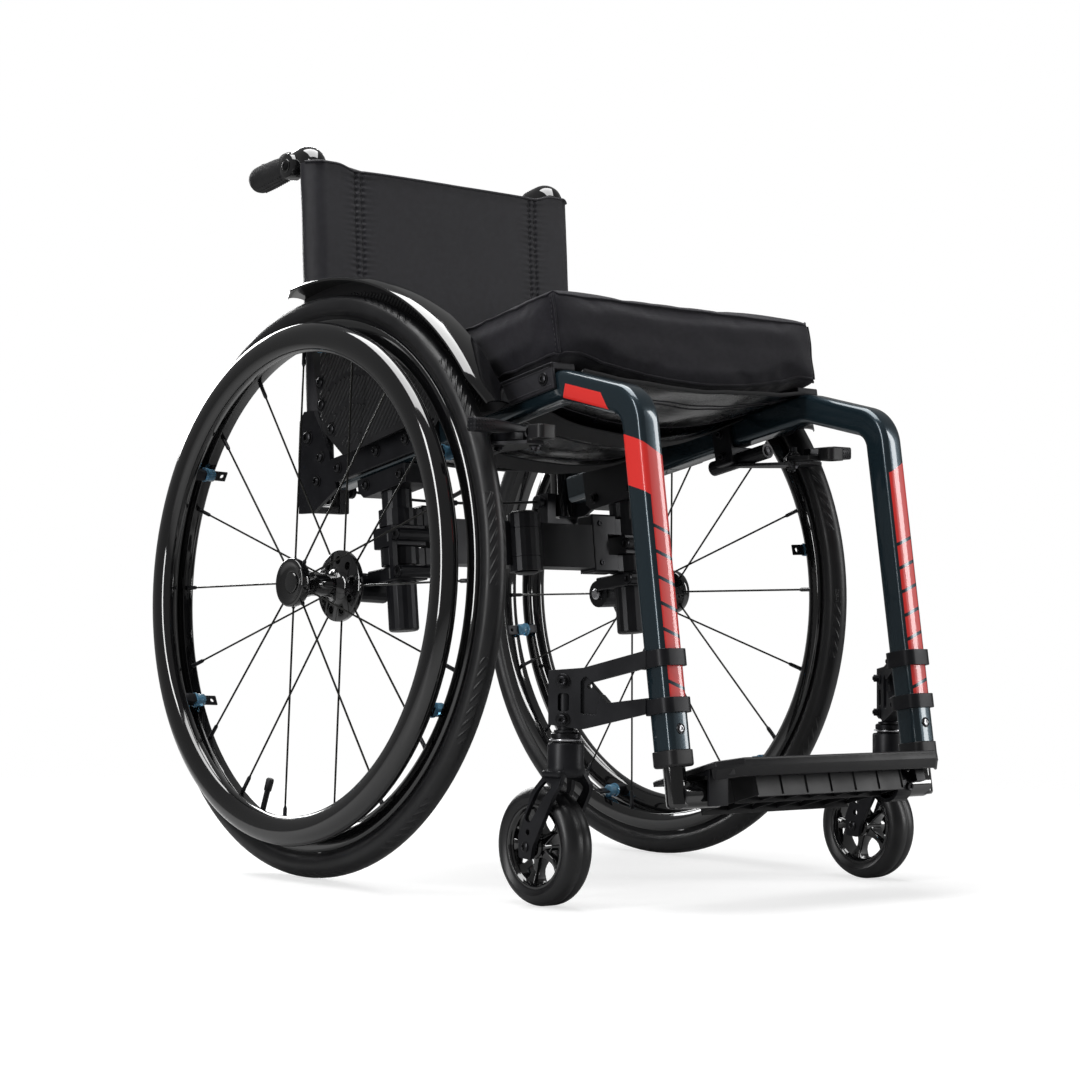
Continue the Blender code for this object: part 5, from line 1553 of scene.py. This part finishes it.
def build_sling():
    """Seat sling with its hems, stitch lines, and the straps that hold it under the rails."""
    half = 0.148
    rings_x, rings_a = 48, 56
    start, end = -0.0070, 0.3120
    bm = fresh()
    rows = []
    for j in range(rings_a + 1):
        a = start + (end - start) * j / rings_a
        rows.append([RAIL @ Vector((-half + 2 * half * i / rings_x, a,
                                    sling_height(-half + 2 * half * i / rings_x, a)))
                     for i in range(rings_x + 1)])
    skin(bm, rows, 0, caps=False, ring_closed=False)
    made = piece(bm, "sling_cloth", "left_frame", ["sling"], ["seat_sling"], 80)
    thick = made.modifiers.new("thick", "SOLIDIFY")
    thick.thickness, thick.offset = 0.0014, 0
    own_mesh(made)

    bm = fresh()
    # hems across the front and the rear, stitch lines across the underside
    for a in (start, end):
        rings = []
        for i in range(rings_x + 1):
            x = -half + 2 * half * i / rings_x
            h = sling_height(x, a)
            rings.append([RAIL @ Vector((x, a + da, h + dh)) for da, dh in
                          ((-0.0012, 0.0012), (0.0012, 0.0012), (0.0016, -0.0022), (-0.0004, -0.0026),
                           (-0.0018, -0.0010))])
        skin(bm, rings, 0)
    for a in (0.020, 0.026, 0.075, 0.130, 0.138, 0.205, 0.260, 0.290):
        points = [RAIL @ Vector((x, a, sling_height(x, a) - 0.0010)) for x in np.linspace(-half + 0.002,
                                                                                          half - 0.002,
                                                                                          60).tolist()]
        tube(bm, points, 0.0005, 6, 1)
    hems = piece(bm, "sling_hems", "left_frame", ["webbing", "thread"], (), 60)
    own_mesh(hems)

    # two webbing straps under the sling
    bm = fresh()
    for middle, wide in ((0.100, 0.036), (0.225, 0.036)):
        rings = []
        for i in range(rings_x + 1):
            x = -half + 0.001 + 2 * (half - 0.001) * i / rings_x
            sag = sling_height(x, middle) - 0.0045 - 0.0035 * (1 - (x / half) ** 2)
            rings.append([RAIL @ Vector((x, middle + da, sag + dh)) for da, dh in
                          ((-wide / 2, 0.0008), (wide / 2, 0.0008), (wide / 2, -0.0008),
                           (-wide / 2, -0.0008))])
        skin(bm, rings, 0)
    straps = piece(bm, "sling_straps", "left_frame", ["webbing"], (), 50)
    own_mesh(straps)


def build_rail_strips(name, side):
    """Black edge strip that clamps the sling to the rail, with its screws."""
    bm = fresh()
    low, high = 0.0030, 0.172
    box(bm, (side * 0.1752, low, -0.0030), (side * 0.1790, high, 0.0225), RAIL, 0.0014, 0, 3)
    box(bm, (side * 0.1500, low, 0.0158), (side * 0.1790, high, 0.0225), RAIL, 0.0014, 0, 3)
    for height in (0.0010, 0.0180):
        points = [RAIL @ Vector((side * 0.1791, a, height)) for a in np.linspace(low + 0.003, high - 0.003,
                                                                                 40).tolist()]
        tube(bm, points, 0.00045, 6, 2)
    for a in (0.0165, 0.090, 0.158):
        bolt(bm, RAIL @ Vector((side * 0.1790, a, 0.0088)), (side, 0, 0), 0.0044, 0.0018, 0.0062, 1,
             "button")
    piece(bm, f"{name}_rail_strip", f"{name}_frame", ["back", "screw", "thread"])


BACK_LOW, BACK_HIGH = 0.4700, 0.7420
BACK_LEAN = math.atan2(BACK_TOP[0] - BACK_PIVOT[0], BACK_TOP[1] - BACK_PIVOT[1])


def back_frame():
    return Matrix.Translation((0, back_line(BACK_LOW), BACK_LOW)) @ Matrix.Rotation(-BACK_LEAN, 4, "X")


def back_surface(x, h, tall):
    """Depth of the back's front face at that place across and up, with seams and puckers."""
    seam = 0.121
    dx = abs(x) - seam
    base = -0.0178
    if dx < 0:
        belly = 0.0045 * (1 - (x / seam) ** 2) * math.sin(math.pi * min(1, max(0, h / tall)))
        base += belly * 0.6 - 0.0018 * (1 - (x / seam) ** 6)
    groove = 0.0016 * (math.exp(-((dx - 0.0042) / 0.0017) ** 2) + math.exp(-((dx + 0.0042) / 0.0017) ** 2))
    spread = 0.0045 if abs(dx) < 0.0045 else 0.0120
    pucker = 0.0006 * math.exp(-(max(0.0, abs(dx) - 0.003) / spread) ** 2)
    pucker *= math.sin(h * 2 * math.pi / 0.0064 + 2.5 * noise.noise(Vector((x * 30, h * 20, 0))))
    crease = 0.0016 * noise.noise(Vector((x * 11, h * 7, 1))) + 0.0008 * noise.noise(Vector((x * 30, h * 18,
                                                                                             4)))
    top = 0.0012 * math.exp(-((tall - h) / 0.006) ** 2)
    return base + groove + pucker + crease * 0.8 - top


def back_rise(x, h, tall):
    """How much higher the upholstery stands there: its sleeves rise above the panel's edge."""
    share = min(1.0, max(0.0, (abs(x) - 0.124) / 0.026))
    return 0.0055 * share * share * (3 - 2 * share) * max(0.0, h / tall) ** 10


def build_back():
    """Back upholstery: a panel with sleeves round the posts, seams, binding and straps."""
    tall = (BACK_HIGH - BACK_LOW) / math.cos(BACK_LEAN)
    place = back_frame()
    bm = fresh()
    rows = []
    steps_h = 170
    outer = 0.0172
    across = sorted(set([round(-0.166 + 0.332 * i / 90, 5) for i in range(91)]
                        + [round(sign * (0.121 + 0.0011 * k), 5) for sign in (1, -1) for k in range(-14,
                                                                                                    15)]))
    for j in range(steps_h + 1):
        h = tall * j / steps_h
        ring = []
        for x in across:
            ring.append(Vector((x, back_surface(x, h, tall), h + back_rise(x, h, tall))))
        wrap = []
        for i in range(1, 14):
            t = math.radians(-90 + 180 * i / 13)
            radial = outer - 0.0040 * abs(math.sin(t)) + 0.0006 * noise.noise(Vector((t * 2, h * 25, 3)))
            wrap.append(Vector((BACK_X + radial * math.cos(t),
                                0.0168 * math.sin(t) - 0.0010 * (1 - abs(math.sin(t))),
                                h + back_rise(0.18, h, tall))))
        ring += wrap
        back = []
        for i in range(61):
            x = 0.150 - 0.300 * i / 60
            depth = -0.0125 + 0.0292 * max(0.0, min(1.0, (abs(x) - 0.128) / 0.020)) ** 1.5
            belly = back_surface(x, h, tall) + 0.0042 if abs(x) < 0.128 else depth
            back.append(Vector((x, min(0.0167, max(belly, -0.0142)), h + back_rise(x, h, tall))))
        ring += back
        ring += [Vector((-p.x, p.y, p.z)) for p in reversed(wrap)]
        rows.append([place @ p for p in ring])
    skin(bm, rows, 0, caps=True)
    made = piece(bm, "back_panel", "left_back", ["back"], ["back_upholstery"], 80)
    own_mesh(made)

    bm = fresh()
    # rolled binding along the top edge, and two stitch lines beside each of the two long seams
    line = []
    for i in range(80):
        x = -0.1825 + 0.3650 * i / 79
        inner_x = max(-0.166, min(0.166, x))
        wrapped = 0.0012 + 0.012 * max(0, abs(x) - 0.170) / 0.013
        depth = back_surface(inner_x, tall, tall) + wrapped
        line.append(place @ Vector((x, depth, tall + back_rise(x, tall, tall))))
    tube(bm, line, 0.0018, 10, 0)
    for sign in (1, -1):
        for shift, radius, look in ((-0.0042, 0.0005, 1), (0.0042, 0.0005, 1)):
            x = sign * (0.121 + shift)
            heights = np.linspace(0.002, tall - 0.001, 120).tolist()
            points = [place @ Vector((x, back_surface(x, h, tall) - 0.0002, h)) for h in heights]
            tube(bm, points, radius, 8, look)
        # mesh strip at the top behind the panel
    rings = []
    for i in range(60):
        x = -0.118 + 0.236 * i / 59
        y = back_surface(x, tall, tall) + 0.0065
        rings.append([place @ Vector((x, y, tall - 0.030)), place @ Vector((x, y + 0.0022, tall - 0.030)),
                      place @ Vector((x, y + 0.0022, tall - 0.001)), place @ Vector((x, y, tall - 0.001))])
    skin(bm, rings, 2)
    # adjustment straps across the back side
    for k in range(4):
        h = 0.030 + 0.058 * k
        rings = []
        for i in range(41):
            x = -0.139 + 0.278 * i / 40
            y = 0.0060 - 0.0040 * (1 - (x / 0.139) ** 2)
            rings.append([place @ Vector((x, y + dy, h + dh)) for dy, dh in
                          ((0, 0), (0.0018, 0.0006), (0.0018, 0.0354), (0, 0.036))])
        skin(bm, rings, 2)
    trim = piece(bm, "back_trim", "left_back", ["back", "thread", "webbing"], (), 60)
    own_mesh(trim)


def build_cable():
    y = back_line(PLUNGER_Z)
    reach = 0.1272
    bm = fresh()
    points = []
    for i in range(41):
        share = i / 20 - 1
        points.append((share * reach, y, PLUNGER_Z - 0.006 * (1 - share * share)))
    tube(bm, points, 0.0016, 10, 0)
    rod(bm, points[19], points[22], 0.0030, 16, 1)
    made = piece(bm, "release_cord", "left_frame", ["plastic", "anodised"],
                 ["release_cable"])
    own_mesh(made)


# ---- finishes of the CAD nodes that stay -------------------------------------------------
def finish_cad_nodes():
    looks = {"axle": "steel", "axle_bracket": "anodised", "axle_post": "anodised", "axle_clamp": "anodised",
             "fold_arm": "anodised", "brake_clamp": "anodised", "back_bracket": "anodised",
             "release_pin": "anodised"}
    chosen = {f"{name}_{part}": look for name, _ in SIDES for part, look in looks.items()}
    chosen |= {"fold_pin": "steel", "footplate_bracket": "anodised"}
    for node, look in chosen.items():
        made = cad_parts[node]
        made.data.materials.clear()
        made.data.materials.append(LOOK[look])
        weld = made.modifiers.new("weld", "WELD")
        weld.merge_threshold = 0.00001
        edges = made.modifiers.new("edges", "BEVEL")
        edges.width, edges.segments, edges.limit_method = 0.0005, 2, "ANGLE"
        edges.angle_limit = math.radians(40)


# ---- stage -------------------------------------------------------------------------------
def area_light(name, place, target, size, power, colour=(1, 1, 1)):
    data = bpy.data.lights.new(name, "AREA")
    data.shape, data.size, data.size_y = "RECTANGLE", size[0], size[1]
    data.energy, data.color = power, colour
    made = bpy.data.objects.new(name, data)
    heading = Vector(target) - Vector(place)
    made.matrix_world = Matrix.Translation(place) @ heading.to_track_quat("-Z", "Y").to_matrix().to_4x4()
    bpy.context.scene.collection.objects.link(made)


def build_stage():
    mesh = bpy.data.meshes.new("floor")
    mesh.from_pydata([(-30, -30, 0), (30, -30, 0), (30, 30, 0), (-30, 30, 0)], [], [(0, 1, 2, 3)])
    floor = bpy.data.objects.new("floor", mesh)
    bpy.context.scene.collection.objects.link(floor)
    p = Paint("pale_floor", (0.40, 0.40, 0.40), 0.6)
    p.base(p.mix(p.ramp(p.noise(3, 2.0), 0.4, 0.6, 0.0, 1.0), (0.395, 0.395, 0.395), (0.405, 0.405, 0.405)))
    apart = p.node("VectorMath", operation="LENGTH")
    p.tree.links.new(p.place, apart.inputs[0])
    fade = p.ramp(apart.outputs["Value"], 0.7, 1.9, 0.0, 1.0)
    seen = p.node("LightPath").outputs["Is Camera Ray"]
    p.shader.inputs["Emission Color"].default_value = (1, 1, 1, 1)
    p.tree.links.new(p.math("MULTIPLY", seen, 0.66), p.shader.inputs["Emission Strength"])
    clear, both = p.node("BsdfTransparent"), p.node("MixShader")
    p.tree.links.new(fade, both.inputs[0])
    p.tree.links.new(p.shader.outputs[0], both.inputs[1])
    p.tree.links.new(clear.outputs[0], both.inputs[2])
    p.tree.links.new(both.outputs[0], p.tree.nodes["Material Output"].inputs["Surface"])
    mesh.materials.append(p.material)
    world = bpy.data.worlds.new("studio")
    bpy.context.scene.world = world
    world.use_nodes = True
    nodes, links = world.node_tree.nodes, world.node_tree.links
    dim = nodes["Background"]
    dim.inputs["Color"].default_value, dim.inputs["Strength"].default_value = (1, 1, 1, 1), 0.16
    white, path = nodes.new("ShaderNodeBackground"), nodes.new("ShaderNodeLightPath")
    mix = nodes.new("ShaderNodeMixShader")
    white.inputs["Color"].default_value, white.inputs["Strength"].default_value = (1, 1, 1, 1), 1.0
    links.new(path.outputs["Is Camera Ray"], mix.inputs[0])
    links.new(dim.outputs[0], mix.inputs[1])
    links.new(white.outputs[0], mix.inputs[2])
    links.new(mix.outputs[0], nodes["World Output"].inputs["Surface"])
    area_light("overhead", (-0.2, 0.1, 2.4), (0, 0, 0.3), (1.8, 1.8), 62)
    area_light("left_bank", (-2.3, -0.2, 1.1), (0, 0, 0.4), (0.35, 2.0), 26)
    area_light("right_bank", (1.9, -1.9, 1.1), (0, 0, 0.4), (0.35, 2.0), 24)
    area_light("rear_bank", (0.6, 2.5, 1.3), (0, 0, 0.5), (1.6, 0.9), 30)
    bpy.context.scene.view_settings.view_transform = "Standard"


def main():
    for name, side in SIDES:
        place = wheel_place(side)
        build_tyre(name, place)
        build_rim(name, place)
        build_handrim(name, side, place)
        build_hub(name, place)
        build_axle_cap(name, place)
        build_side_tube(name, side)
        build_leg_fittings(name, side)
        build_caster_bracket(name, side)
        build_fork(name, side)
        build_caster_wheel(name, side)
        build_brake(name, side)
        build_side_guard(name, side)
        build_push_handle(name, side)
        build_back_post(name, side)
        build_back_screws(name, side)
        build_post_trim(name, side)
        build_link_trim(name, side)
        build_rail_strips(name, side)
    build_pin_caps()
    build_footplate()
    build_cushion()
    build_sling()
    build_back()
    build_cable()
    finish_cad_nodes()
    build_stage()


main()
